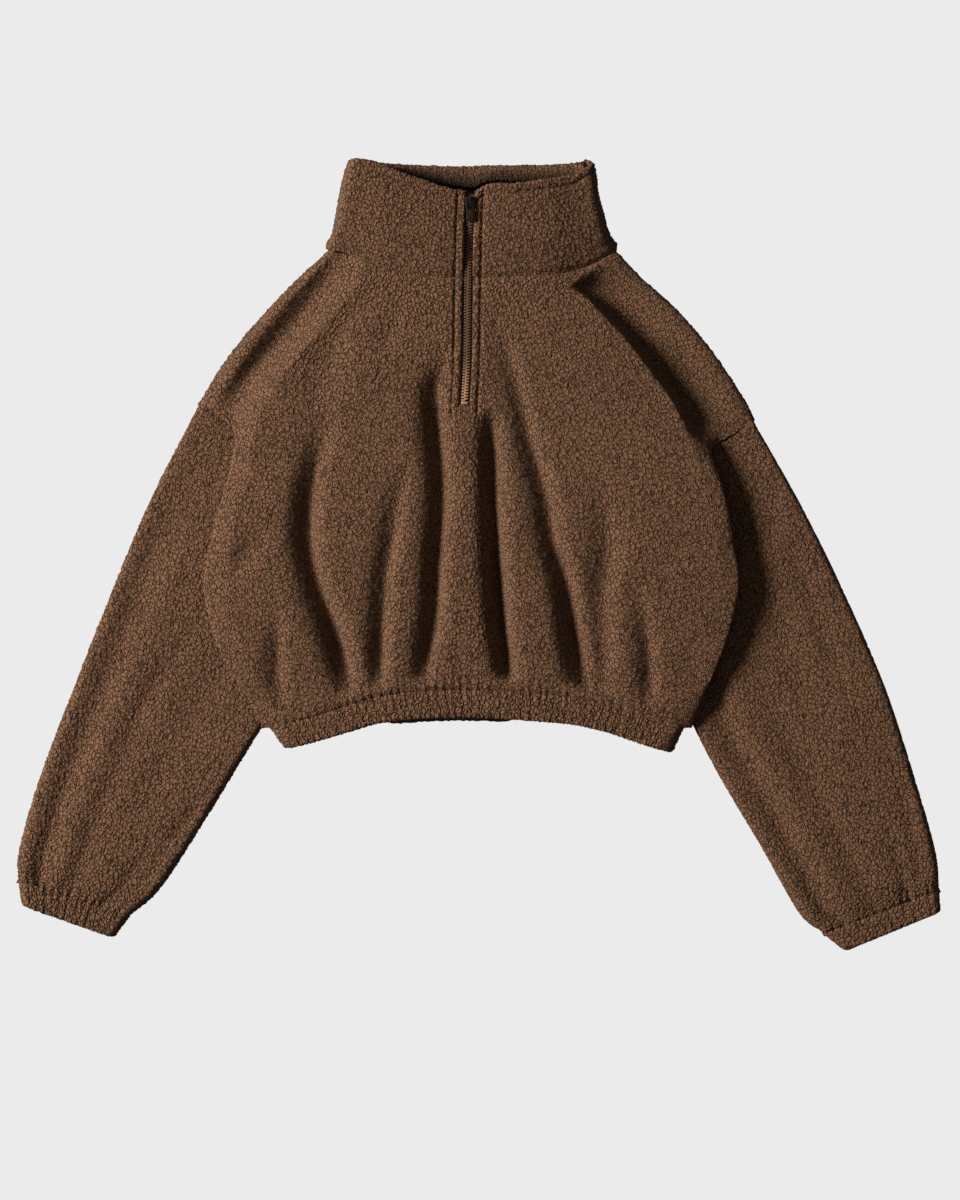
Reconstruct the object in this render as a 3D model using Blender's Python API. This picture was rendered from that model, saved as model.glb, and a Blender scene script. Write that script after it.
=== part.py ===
"""Fleece pullover with a stand collar and a short zip, laid flat on its back.

Units in the tables are millimetres: x to the garment's right-hand edge as it
is seen, y up to the collar, z up from the surface that it lies on. The origin
is on that surface, under the middle of the garment. Every sewn piece is a
closed wall of its own, and SEAM is the gap between two pieces.
"""

import math

import bmesh
import bpy
import numpy as np
from mathutils import Matrix

MM = 0.001

# ---- driving sizes ----
CLOTH = 4.0  # sherpa fleece, pile and backing
DOUBLE_CLOTH = 7.0  # collar and bands are folded double
SEAM = 0.5  # gap along a seam
SLOT_HALF = 6.0  # half the width of the slot that shows the zip
ZIP_END_Y = 155.0  # foot of the slot in the front
CHAIN_WIDTH = 7.2
CHAIN_THICK = 2.3
TAPE_THICK = 1.0

# ---- materials: colour, roughness, metallic ----
FLEECE = ("fleece", (0.095, 0.047, 0.024), 0.95, 0.0)
TAPE = ("zip_tape", (0.042, 0.021, 0.012), 0.85, 0.0)
TEETH = ("zip_teeth", (0.120, 0.058, 0.030), 0.40, 0.3)
METAL = ("zip_metal", (0.050, 0.026, 0.017), 0.35, 0.6)

# ---- the front's rim: one row for each level, from the neck to the hem band ----
# level: nominal y of the row; seam: where the front's edge is sewn; under: the
# run that turns beneath the loose side; edge: the side's outermost line;
# crest: where the side has risen to the height of the front.
RIM_COLUMNS = ("level", "seam_x", "seam_z", "under_x", "under_z", "edge_x", "edge_z", "crest_x")
LEFT_RIM = (
    (320, -160, 9.5, -152, 15.0, -144, 17.5, -118),
    (292, -190, 9.5, -180, 17.5, -158, 13.0, -124),
    (267, -215, 9.5, -203, 19.0, -176, 11.5, -140),
    (225, -252, 9.5, -237, 19.5, -210, 11.0, -174),
    (204, -268, 9.5, -252, 19.0, -228, 11.5, -193),
    (183, -282, 9.5, -266, 17.5, -242, 12.0, -208),
    (163, -293, 9.5, -276, 15.0, -253, 13.0, -218),
    (157, -296, 9.5, -280, 14.5, -255, 13.5, -223),
    (152, -289, 9.7, -276, 14.0, -257, 14.0, -225),
    (141, -273, 10.5, -266, 13.5, -258, 15.5, -229),
    (125, -249, 13.8, -252, 15.0, -257, 21.0, -233),
    (99, -219, 15.5, -240, 15.5, -260, 24.0, -238),
    (78, -197, 15.5, -242, 15.5, -265, 25.0, -241),
    (47, -166, 15.5, -243, 15.5, -274, 26.0, -252),
    (15, -142, 15.5, -241, 15.5, -281, 26.0, -260),
    (-27, -151, 14.0, -162, 15.5, -284, 26.0, -262),
    (-69, -162, 9.0, -178, 15.5, -279, 26.0, -256),
    (-111, -173, 6.5, -194, 15.5, -265, 26.0, -242),
    (-142, -182, 6.5, -208, 15.5, -247, 24.0, -224),
    (-175, -190, 6.5, -221, 15.0, -229, 20.0, -205),
)
RIGHT_RIM = (
    (320, 144, 9.5, 138, 14.0, 131, 16.0, 113),
    (306, 157, 9.5, 149, 13.5, 123, 18.0, 104),
    (292, 170, 9.5, 159, 13.0, 115, 15.0, 94),
    (267, 198, 9.5, 186, 12.5, 131, 9.5, 112),
    (225, 236, 9.5, 224, 12.5, 170, 9.0, 151),
    (183, 266, 9.5, 253, 12.5, 200, 9.0, 183),
    (157, 282, 9.5, 268, 13.0, 217, 10.5, 202),
    (147, 287, 9.6, 269, 13.0, 222, 12.0, 207),
    (141, 289, 10.0, 267, 13.0, 225, 14.0, 209),
    (136, 282, 11.0, 262, 13.5, 228, 17.0, 212),
    (125, 264, 14.3, 253, 15.3, 233, 22.0, 216),
    (117, 249, 14.6, 248, 15.5, 238, 26.0, 221),
    (99, 229, 15.5, 236, 15.5, 243, 30.0, 227),
    (78, 208, 15.5, 236, 16.0, 251, 32.0, 235),
    (47, 176, 15.5, 236, 16.0, 259, 33.0, 243),
    (15, 146, 15.5, 232, 16.0, 264, 33.0, 248),
    (-27, 149, 13.0, 161, 17.0, 266, 33.0, 249),
    (-69, 161, 8.5, 179, 16.5, 260, 33.0, 243),
    (-111, 172, 6.5, 197, 16.0, 248, 31.0, 231),
    (-142, 181, 6.0, 210, 15.5, 235, 27.0, 214),
    (-175, 189, 6.0, 214, 14.5, 222, 20.0, 198),
)
ARMHOLE_LEVELS = {"left": (157.0, 15.0), "right": (141.0, 15.0)}  # shoulder point, underarm

# ---- height of the front's plain surface, and its folds ----
FRONT_HEIGHT = ((-175, 30), (-150, 31), (-115, 35), (-60, 40), (20, 41), (80, 39),
                (160, 37), (225, 35), (267, 32), (292, 29), (320, 26))  # y, z
# the folds: a route of (x, y, depth) from top to foot, then the half-widths of the
# fold's gentle left side and of its steep right side
FRONT_FOLDS = {
    "zip_left": (((-30, 228, 0), (-39, 200, 4), (-46, 175, 11), (-45, 141, 16), (-40, 85, 16),
                  (-40, 50, 16), (-44, -6, 17), (-48, -69, 16), (-55, -111, 13),
                  (-59, -140, 5), (-60, -165, 0)), 14, 9),
    "zip_foot": (((12, 154, 0), (12, 136, 10), (13, 110, 16), (14, 60, 19), (16, 15, 21),
                  (19, -30, 23), (23, -75, 23), (28, -111, 19), (32, -140, 8),
                  (34, -167, 0)), 12, 9),
    "right_inner": (((15, 256, 0), (30, 204, 5), (43, 160, 8), (55, 110, 11), (69, 60, 12),
                     (76, 15, 14), (90, -30, 17), (98, -75, 19), (104, -111, 17),
                     (109, -140, 7), (111, -167, 0)), 15, 9),
    "left_outer": (((-158, 150, 0), (-164, 120, 6), (-174, 80, 13), (-179, 36, 17),
                    (-178, 5, 17), (-170, -30, 17), (-155, -70, 18), (-143, -111, 18),
                    (-137, -142, 8), (-134, -170, 0)), 16, 10),
    "left_sweep": (((-96, 292, 0), (-128, 262, 4), (-150, 225, 6), (-165, 183, 6),
                    (-172, 141, 4), (-180, 90, 0)), 30, 20),
    "left_inner": (((-75, 100, 0), (-86, 57, 6), (-92, 15, 9), (-99, -30, 10),
                    (-102, -69, 11), (-104, -111, 12), (-105, -142, 6), (-106, -168, 0)),
                   14, 8),
    "left_neck": (((-76, 284, 0), (-85, 255, 2.5), (-95, 232, 3), (-104, 200, 0)), 15, 11),
    "right_outer": (((126, 84, 0), (131, 40, 5), (134, 15, 8), (130, -27, 9), (127, -69, 9),
                     (130, -105, 10), (127, -142, 6), (126, -168, 0)), 19, 12),
    "right_side": (((162, -12, 0), (170, -58, 4), (176, -95, 7), (178, -135, 7),
                    (178, -168, 0)), 13, 8),
    "left_side": (((-213, -46, 0), (-211, -85, 5), (-212, -111, 8), (-211, -140, 6),
                   (-208, -168, 0)), 13, 8),
    "right_neck": (((130, 322, 9), (118, 308, 7.5), (104, 296, 4), (88, 285, 0)), 24, 24),
    "left_pinch": (((-222, 36, 0), (-238, 8, 5), (-250, -10, 5), (-266, -38, 0)), 18, 14),
}
FOLD_POWER = 1.8  # 2 makes the foot of a fold round, less makes it sharper
ROLL_OFF = 2.0  # the front falls by this much toward its loose sides
ROLL_REACH = 34.0
HEM_EDGE = 30.5  # height of the front beside the hem band
BLOUSE = 24.0  # run over which the front rises from there
FOLD_END = 18.0  # run over which the folds die out above the hem seam
BESIDE_CREST = 26.0  # from the crest to the next point of the side's section

# ---- the neck and collar ----
ZIP_LINE = ((155, -16.5), (200, -14.0), (265, -13.1), (345, -11.2), (381, -9.7))  # y, x
NECK_FRONT = ((-162, 320), (-147, 319), (-119, 309), (-104, 303), (-82, 298), (-65, 293),
              (-20, 289), (3, 289), (57, 293), (97, 298), (122, 306), (144, 319))  # x, y
NECK_BACK_Y = 327.0
COLLAR_TOP_FRONT = ((-137, 414), (-111, 410), (-80, 398), (-59, 391), (-38, 384), (-19, 380),
                    (-5, 379.5), (4, 384.5), (37, 387.5), (68, 392.5), (89, 396), (100, 399),
                    (109, 405), (122, 411))  # x, y
COLLAR_TOP_BACK = ((-137, 416), (-128, 417), (-111, 413), (-90, 412), (-27, 410), (26, 411),
                   (68, 411.5), (100, 414), (112, 416), (122, 413))  # x, y
COLLAR_LEFT = ((320, -162), (330, -157), (356, -151), (381, -147), (406, -141), (417, -137))
COLLAR_RIGHT = ((320, 144), (330, 138), (356, 131), (381, 125), (406, 122), (417, 120))
COLLAR_HEIGHT = ((320, 29), (345, 34), (360, 36), (381, 36.5), (417, 37))  # y, z of the front half
# how the collar's front half falls away from the zip: x, z at its top edge
COLLAR_CROWN = ((-141, 4), (-118, 5), (-90, 4.5), (-60, 3), (-35, 1), (-18, 0), (-4, 0),
                (10, 2), (25, 2.5), (50, 0), (75, -4), (95, -9), (120, -13))
COLLAR_BASE = ((-141, 0), (-118, 1), (-60, 1), (0, 0), (50, 0), (75, -1.5), (97, -6),
               (113, -9.5), (132, -13))  # x, z: the same along the neck seam
COLLAR_RISE = 97.0  # from the neck seam's ends to the top edge, at the sides
COLLAR_ZIP_TOP = 380.0  # top edge beside the zip
COLLAR_FOLD = 12.0  # how far the round fold at each side reaches in
NECK_BACK_ENDS = (130.0, -148.0)

# ---- the hem band ----
BAND_TOP = ((-224, -178), (-200, -175), (-145, -158), (-105, -146.5), (-63, -141), (0, -140),
            (59, -143.5), (100, -148.5), (136, -157), (173, -169.5), (200, -176), (216, -178))
BAND_FOOT = ((-205, -203), (-178, -197), (-145, -187.5), (-105, -176), (-63, -171.5),
             (0, -170.5), (59, -174), (100, -178), (136, -186.5), (173, -199), (202, -207.5))
BAND_TOP_ENDS = (-223.0, 216.0)
BAND_FOOT_ENDS = (-205.0, 202.0)
BAND_HEIGHT = 28.0
BAND_GATHERS = 50
BACK_PEEK = 4.0  # how far the back of the band shows below the front
PEEK_SPAN = (-105.0, 42.0)

# ---- sleeves and cuffs: two edges of each flat ring, from armhole to wrist ----
# outer_x, outer_y, inner_x, inner_y, height
LEFT_SLEEVE = (
    (-295, 157, -144, 13, 13.0),
    (-347, 57, -167, -43, 14.0),
    (-386, -35, -194, -123, 14.0),
    (-426, -136, -241, -199, 15.0),
    (-464, -237, -291, -281, 18.0),
    (-485, -312, -336, -350, 20.0),
    (-486, -341, -369, -380, 19.0),
)
RIGHT_SLEEVE = (
    (289, 141, 141, 13, 13.0),
    (339, 52, 156, -31, 14.0),
    (382, -35, 196, -120, 14.0),
    (426, -136, 244, -219, 15.0),
    (459, -237, 297, -310, 18.0),
    (480, -312, 336, -378, 20.0),
    (484, -351, 360, -398, 19.0),
)
SLEEVE_LEAD = 1.2  # the sleeve starts this far past the armhole seam
LEFT_CUFF = ((-486, -342, -369, -381, 19.0), (-482, -369, -386, -403, 18.0))
RIGHT_CUFF = ((484, -352, 360, -399, 19.0), (486, -376, 384, -418, 18.0))
CUFF_GATHERS = 14
SLEEVE_FOLDS = {  # across: 0 at the outer edge, 1 at the inner one
    "left": ((0.15, 3.5, 0.07), (0.62, 1.5, 0.10)),
    "right": ((0.86, 3.5, 0.07), (0.40, 1.5, 0.10)),
}


# ---- curves ----
def smooth(at, knots, values):
    """Cubic curve through the knots, level past both ends."""
    knots = np.asarray(knots, float)
    values = np.asarray(values, float)
    slopes = np.gradient(values, knots)
    at = np.clip(at, knots[0], knots[-1])
    i = np.clip(np.searchsorted(knots, at) - 1, 0, len(knots) - 2)
    span = knots[i + 1] - knots[i]
    t = (at - knots[i]) / span
    rise = t * t * (3.0 - 2.0 * t)
    return (values[i] + (values[i + 1] - values[i]) * rise
            + span * (slopes[i] * t * (1 - t) ** 2 - slopes[i + 1] * t * t * (1 - t)))


def along(table, at):
    """Read a two-column table of (place, value) rows as a smooth curve."""
    rows = sorted(table)
    return smooth(at, [row[0] for row in rows], [row[1] for row in rows])


def rim_value(rim, column, level):
    """One named column of a rim table at any level."""
    index = RIM_COLUMNS.index(column)
    rows = rim[::-1]
    return smooth(level, [row[0] for row in rows], [row[index] for row in rows])


def ease(t):
    """0 to 1, level at both ends."""
    t = np.clip(t, 0.0, 1.0)
    return t * t * (3.0 - 2.0 * t)


def front_height(x, y):
    """Height of the front's outer surface, with its folds."""
    hem_gap = y - along(BAND_TOP, x)
    away_from_hem = np.clip(hem_gap / BLOUSE, 0.0, 1.0)
    fold_share = ease(hem_gap / FOLD_END)
    z = HEM_EDGE + (along(FRONT_HEIGHT, y) - HEM_EDGE) * (1.0 - (1.0 - away_from_hem) ** 2)
    for rim, side in ((LEFT_RIM, 1.0), (RIGHT_RIM, -1.0)):
        to_crest = side * (x - rim_value(rim, "crest_x", y))
        z = z - ROLL_OFF * np.exp(-((to_crest / ROLL_REACH) ** 2))
    for route, gentle, steep in FRONT_FOLDS.values():
        xs, ys, depths = zip(*route[::-1])
        beside = x - smooth(y, ys, xs)
        half_width = np.where(beside < 0.0, gentle, steep)
        drop = smooth(y, ys, depths) * np.exp(-(np.abs(beside / half_width) ** FOLD_POWER))
        z = z - fold_share * drop
    return z


def zip_x(y):
    """Middle of the zip at height y on the garment."""
    return along(ZIP_LINE, y)


def zip_level(y):
    """Height of the cloth beside the zip, on the front and on the collar."""
    return np.where(y > NECK_ZIP_Y, along(COLLAR_HEIGHT, y), front_height(zip_x(y), y))


NECK_ZIP_Y = 289.0  # the neck seam beside the zip
WAIST_LEVEL = -6.0  # rows are straight between these two levels
CHEST_LEVEL = 267.0
NECK_LEVEL = 320.0
HEM_LEVEL = -175.0


def row_y(x, level):
    """Real y of a nominal level: rows bend to the neck and to the hem band."""
    neck = CHEST_LEVEL + (level - CHEST_LEVEL) * (
        (along(NECK_FRONT, x) - CHEST_LEVEL) / (NECK_LEVEL - CHEST_LEVEL))
    hem = WAIST_LEVEL + (level - WAIST_LEVEL) * (
        (along(BAND_TOP, x) - WAIST_LEVEL) / (HEM_LEVEL - WAIST_LEVEL))
    return np.where(level > CHEST_LEVEL, neck, np.where(level < WAIST_LEVEL, hem, level))


# ---- solids ----
def material(finish):
    """The finish's material, made once."""
    name, colour, roughness, metallic = finish
    found = bpy.data.materials.get(name)
    if found:
        return found
    made = bpy.data.materials.new(name)
    made.use_nodes = True
    shader = made.node_tree.nodes["Principled BSDF"]
    shader.inputs["Base Color"].default_value = (*colour, 1.0)
    shader.inputs["Roughness"].default_value = roughness
    shader.inputs["Metallic"].default_value = metallic
    made.diffuse_color = (*colour, 1.0)
    return made


def add_object(name, bm, finish):
    """Put a finished bmesh, in millimetres, into the scene."""
    bmesh.ops.recalc_face_normals(bm, faces=bm.faces)
    bmesh.ops.scale(bm, vec=(MM, MM, MM), verts=bm.verts)
    mesh = bpy.data.meshes.new(name)
    bm.to_mesh(mesh)
    bm.free()
    mesh.shade_smooth()
    mesh.set_sharp_from_angle(angle=math.radians(50))
    mesh.materials.append(material(finish))
    made = bpy.data.objects.new(name, mesh)
    bpy.context.scene.collection.objects.link(made)
    return made


def wall(name, outer, inner, finish, ring=False, missing=()):
    """A closed wall between two grids of points, rows by columns.

    ring joins the last column to the first. missing lists the (row, column)
    cells that are cut out.
    """
    rows, columns = outer.shape[:2]
    bm = bmesh.new()
    sides = [[[bm.verts.new(point) for point in line] for line in grid] for grid in (outer, inner)]
    cells = {(r, c) for r in range(rows - 1) for c in range(columns if ring else columns - 1)}
    cells -= set(missing)
    edges = {}
    for r, c in sorted(cells):
        d = (c + 1) % columns
        corners = ((r, c), (r, d), (r + 1, d), (r + 1, c))
        for side in sides:
            bm.faces.new([side[i][j] for i, j in corners])
        for k in range(4):
            pair = (corners[k], corners[(k + 1) % 4])
            edges[frozenset(pair)] = None if frozenset(pair) in edges else pair
    for pair in edges.values():
        if pair:
            (i, j), (k, m) = pair
            bm.faces.new((sides[0][i][j], sides[0][k][m], sides[1][k][m], sides[1][i][j]))
    loose = [vert for vert in bm.verts if not vert.link_faces]
    bmesh.ops.delete(bm, geom=loose, context="VERTS")
    return add_object(name, bm, finish)


def inward(grid, thickness):
    """The grid moved in along its own normals by the cloth's thickness."""
    across = np.gradient(grid, axis=1)
    down = np.gradient(grid, axis=0)
    normal = np.cross(down, across)
    normal /= np.linalg.norm(normal, axis=2, keepdims=True)
    return grid - normal * thickness


def flat_ring(width, height, inset, counts, rise=None):
    """Section of a flattened tube: distance across, and height, round the ring.

    counts gives the steps along the top, round each end and along the bottom.
    rise, if given, lifts the top by a function of the share of the width.
    """
    top, end, bottom = counts
    radius = height / 2.0
    reach = radius - inset
    across_top = np.linspace(radius, width - radius, top + 1)
    across_bottom = np.linspace(width - radius, radius, bottom + 1)
    turn = np.linspace(0.0, math.pi, end + 1)[1:-1]
    z_top = np.full(top + 1, height - inset)
    if rise is not None:
        z_top = z_top + rise(across_top / width)
    across = np.concatenate((across_top, width - radius + reach * np.sin(turn),
                             across_bottom, radius - reach * np.sin(turn)))
    z = np.concatenate((z_top, radius + reach * np.cos(turn),
                        np.full(bottom + 1, inset), radius - reach * np.cos(turn)))
    return across, z


def gathers(count, depth, shift):
    """Uneven gathers across a band: a wave whose pitch and depth wander."""
    def wave(share):
        phase = count * (share + 0.006 * np.sin(19.0 * share + shift))
        size = 0.75 + 0.25 * np.sin(31.0 * share + 2.0 * shift)
        ends = ease(share / 0.04) * ease((1.0 - share) / 0.04)
        return depth * ends * size * (np.cos(2.0 * math.pi * phase) - 1.0) / 2.0
    return wave


# ---- the sewn pieces ----
def front_rows():
    """Levels of the front's rows, closer at the neck, the zip's foot and the hem."""
    return np.array([320, 308, 296, 282, 267, 248, 228, 208, 190, 173, 155, 141, 130, 117, 99, 78,
                     57, 36, 15, -6, -27, -50, -72, -92, -112, -130, -147, -162, -175], float)


def front_grid(levels, steps):
    """Outer surface of the front, rows by columns.

    steps gives the columns of the under run, the roll, the rise, the left and
    the right half, and the slot.
    """
    under, roll, rise, left, right, slot = steps
    marks = np.concatenate((np.linspace(0, 1, under + 1), np.linspace(1, 2, roll + 1)[1:],
                            np.linspace(2, 3, rise + 1)[1:]))
    grid = []
    for level in levels:
        zip_middle = zip_x(np.maximum(row_y(zip_x(level), level), ZIP_END_Y))
        slot_left, slot_right = zip_middle - SLOT_HALF, zip_middle + SLOT_HALF
        sections = []
        for rim, inside in ((LEFT_RIM, 1.0), (RIGHT_RIM, -1.0)):
            crest = rim_value(rim, "crest_x", level)
            beyond = crest + inside * BESIDE_CREST
            xs = [rim_value(rim, column, level) for column in ("seam_x", "under_x", "edge_x")]
            zs = [rim_value(rim, column, level) for column in ("seam_z", "under_z", "edge_z")]
            for x in (crest, beyond):
                xs.append(x)
                zs.append(front_height(x, row_y(x, level)))
            knots = range(5)
            sections.append((smooth(marks, knots, xs), smooth(marks, knots, zs)))
        (left_x, left_z), (right_x, right_z) = sections
        middle_x = np.concatenate((np.linspace(left_x[-1], slot_left, left + 1)[1:],
                                   np.linspace(slot_left, slot_right, slot + 1)[1:],
                                   np.linspace(slot_right, right_x[-1], right + 1)[1:-1]))
        x = np.concatenate((left_x, middle_x, right_x[::-1]))
        y = row_y(x, level)
        z = np.concatenate((left_z, front_height(middle_x, row_y(middle_x, level)),
                            right_z[::-1]))
        grid.append(np.stack((x, y, z), axis=1))
    return np.array(grid)


def make_front():
    """The front, with a slot for the zip and loose sides that turn under."""
    levels = front_rows()
    steps = (2, 3, 3, 22, 24, 2)
    grid = front_grid(levels, steps)
    first = steps[0] + steps[1] + steps[2] + steps[3]
    slot = [(row, column) for row in range(len(levels) - 1) if levels[row + 1] >= ZIP_END_Y
            for column in range(first, first + steps[5])]
    inner = inward(grid, CLOTH)
    inner[[0, -1], :, 1] = grid[[0, -1], :, 1]  # the cut edges stand square to the seams
    sides = [first, first + steps[5]]
    inner[:, sides, 0] = grid[:, sides, 0]
    wall("front", grid, inner, FLEECE, missing=slot)


def make_back():
    """The back: a flat panel under the front, cut along the same seams."""
    levels = front_rows()
    left = [(rim_value(LEFT_RIM, "seam_x", level), level) for level in levels[1:]]
    right = [(rim_value(RIGHT_RIM, "seam_x", level), level) for level in levels[1:]]
    hem_left, hem_right = left[-1][0], right[-1][0]
    left[-1] = (hem_left, along(BAND_TOP, hem_left) + SEAM)
    right[-1] = (hem_right, along(BAND_TOP, hem_right) + SEAM)
    hem = [(x, along(BAND_TOP, x) + SEAM) for x in np.linspace(hem_left, hem_right, 16)[1:-1]]
    neck = [(x, NECK_BACK_Y - SEAM) for x in np.linspace(*NECK_BACK_ENDS, 8)]
    outline = left + hem + right[::-1] + neck
    bm = bmesh.new()
    face = bm.faces.new([bm.verts.new((x, y, 0.0)) for x, y in outline])
    lifted = bmesh.ops.extrude_face_region(bm, geom=[face])["geom"]
    verts = [item for item in lifted if isinstance(item, bmesh.types.BMVert)]
    bmesh.ops.translate(bm, vec=(0, 0, CLOTH), verts=verts)
    add_object("back", bm, FLEECE)


def collar_point(share, part, height_share, inset):
    """One point of the collar.

    part is front_left, left_fold, back, right_fold or front_right; share runs
    along it, and height_share runs from the neck seam (0) to the top edge (1).
    inset moves the point in from the outer surface.
    """
    level = NECK_LEVEL + COLLAR_RISE * height_share
    left = along(COLLAR_LEFT, level)
    right = along(COLLAR_RIGHT, level)
    slot_y = NECK_ZIP_Y + (COLLAR_ZIP_TOP - NECK_ZIP_Y) * height_share
    middle = zip_x(slot_y)
    fold_left, fold_right = left + COLLAR_FOLD, right - COLLAR_FOLD
    angle = math.pi * share
    swing = (COLLAR_FOLD - inset) * math.sin(angle)
    x = {"front_left": (1 - share) * (middle - SLOT_HALF) + share * fold_left,
         "front_right": share * (middle + SLOT_HALF) + (1 - share) * fold_right,
         "back": (1 - share) * fold_left + share * fold_right,
         "left_fold": fold_left - swing,
         "right_fold": fold_right + swing}[part]
    crown_x = np.clip(x, fold_left, fold_right)
    crown = along(COLLAR_BASE, crown_x)
    crown = crown + (along(COLLAR_CROWN, crown_x) - crown) * height_share
    tall = along(COLLAR_HEIGHT, level) + crown
    radius = tall / 2.0
    turned = (radius - inset) * math.cos(angle)
    z = {"front_left": tall - inset, "front_right": tall - inset, "back": inset,
         "left_fold": radius + turned, "right_fold": radius - turned}[part]
    front_share = ease((z - DOUBLE_CLOTH) / (tall - 2.0 * DOUBLE_CLOTH))
    base = front_share * along(NECK_FRONT, x) + (1 - front_share) * NECK_BACK_Y + 2.6 * SEAM
    top = (front_share * along(COLLAR_TOP_FRONT, x)
           + (1 - front_share) * along(COLLAR_TOP_BACK, x))
    return x, base + (top - base) * height_share, z


def make_collar():
    """The stand collar: one folded wall from the zip round the neck to the zip."""
    route = [(share, "front_left") for share in np.linspace(0, 1, 16)]
    route += [(share, "left_fold") for share in np.linspace(0, 1, 7)[1:-1]]
    route += [(share, "back") for share in np.linspace(0, 1, 10)]
    route += [(share, "right_fold") for share in np.linspace(0, 1, 7)[1:-1]]
    route += [(share, "front_right") for share in np.linspace(0, 1, 16)]
    heights = np.linspace(0, 1, 7)
    outer, inner = (
        np.array([[collar_point(share, part, height, inset) for share, part in route]
                  for height in heights]) for inset in (0.0, DOUBLE_CLOTH))
    wall("collar", outer, inner, FLEECE)


def sleeve_grid(rings, armhole, rim, stations, counts, inset, folds):
    """One skin of a sleeve: flat rings from the armhole seam to the cuff."""
    columns = list(zip(*rings))
    knots = range(len(rings))
    shoulder_y, underarm_y = armhole
    start_x, start_y, end_x, end_y = rings[0][:4]
    lead = np.array([np.sign(start_x) * 0.4, -0.9]) * SLEEVE_LEAD
    grid = []
    for station in stations:
        outer_x, outer_y, inner_x, inner_y, height = (
            float(smooth(station, knots, column)) for column in columns)
        width = math.hypot(inner_x - outer_x, inner_y - outer_y)
        depth_share = ease(station / 1.5) * ease((len(rings) - 1 - station) / 0.7)

        def rise(share, strength=depth_share):
            lift = 2.0 * np.sin(math.pi * share) * strength
            for middle, depth, half_width in folds:
                lift = lift - depth * strength * np.exp(-(((share - middle) / half_width) ** 2))
            return lift

        across, z = flat_ring(width, height, inset, counts, rise)
        share = across / width
        seam_y = shoulder_y + (underarm_y - shoulder_y) * share
        seam_x = rim_value(rim, "seam_x", seam_y)
        pull = ease(1.0 - station / 1.6)
        x = outer_x + (inner_x - outer_x) * share
        y = outer_y + (inner_y - outer_y) * share
        x = x + pull * (seam_x + lead[0] - start_x - (end_x - start_x) * share)
        y = y + pull * (seam_y + lead[1] - start_y - (end_y - start_y) * share)
        grid.append(np.stack((x, y, z), axis=1))
    return np.array(grid)


def make_sleeve(side):
    """A long sleeve, flat and hollow, one wall all round."""
    rings, rim = (LEFT_SLEEVE, LEFT_RIM) if side == "left" else (RIGHT_SLEEVE, RIGHT_RIM)
    stations = np.linspace(0, len(rings) - 1, 14)
    counts = (12, 6, 6)
    outer, inner = (
        sleeve_grid(rings, ARMHOLE_LEVELS[side], rim, stations, counts, inset,
                    SLEEVE_FOLDS[side]) for inset in (0.0, CLOTH))
    wall("sleeve_" + side, outer, inner, FLEECE, ring=True)


def make_cuff(side):
    """A gathered cuff band at the wrist."""
    ends = LEFT_CUFF if side == "left" else RIGHT_CUFF
    counts = (CUFF_GATHERS * 4, 6, 6)
    skins = []
    for inset in (0.0, DOUBLE_CLOTH - 1.0):
        grid = []
        for share_down, depth in ((0.0, 2.2), (0.5, 1.4), (1.0, 2.0)):
            outer_x, outer_y, inner_x, inner_y, height = (
                a + (b - a) * share_down for a, b in zip(*ends))
            width = math.hypot(inner_x - outer_x, inner_y - outer_y)
            rise = None if inset else gathers(CUFF_GATHERS, depth, share_down)
            across, z = flat_ring(width, height, inset, counts, rise)
            share = across / width
            x = outer_x + (inner_x - outer_x) * share
            y = outer_y + (inner_y - outer_y) * share
            grid.append(np.stack((x, y, z), axis=1))
        skins.append(np.array(grid))
    wall("cuff_" + side, skins[0], skins[1], FLEECE, ring=True)


def make_hem_band():
    """The gathered hem band: a flat ring along the front's and back's lower edges."""
    counts = (BAND_GATHERS * 4, 6, 24)
    skins = []
    for inset in (0.0, DOUBLE_CLOTH):
        grid = []
        for share_down, depth in ((0.0, 2.6), (0.5, 1.6), (1.0, 2.2)):
            left, right = (a + (b - a) * share_down for a, b in zip(BAND_TOP_ENDS, BAND_FOOT_ENDS))
            rise = None if inset else gathers(BAND_GATHERS, depth, share_down)
            across, z = flat_ring(right - left, BAND_HEIGHT, inset, counts, rise)
            share = across / (right - left)
            x = left + across
            top = along(BAND_TOP, BAND_TOP_ENDS[0] + share * (BAND_TOP_ENDS[1] - BAND_TOP_ENDS[0]))
            foot = along(BAND_FOOT,
                         BAND_FOOT_ENDS[0] + share * (BAND_FOOT_ENDS[1] - BAND_FOOT_ENDS[0]))
            peek = BACK_PEEK * ease((x - PEEK_SPAN[0]) / 20.0) * ease((PEEK_SPAN[1] - x) / 20.0)
            foot = foot - peek * (1.0 - ease(z / BAND_HEIGHT))
            y = top - 1.5 * SEAM + (foot - top) * share_down
            grid.append(np.stack((x, y, z), axis=1))
        skins.append(np.array(grid))
    wall("hem_band", skins[0], skins[1], FLEECE, ring=True)


# ---- the zip ----
def strip(name, left, right, low, high, ys, finish):
    """A bar that follows the zip: x offsets from its middle, z offsets from the cloth."""
    top = np.array([[(zip_x(y) + dx, y, zip_level(y) + high) for dx in (left, right)] for y in ys])
    foot = np.array([[(zip_x(y) + dx, y, zip_level(y) + low) for dx in (left, right)] for y in ys])
    wall(name, top, foot, finish)


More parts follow.
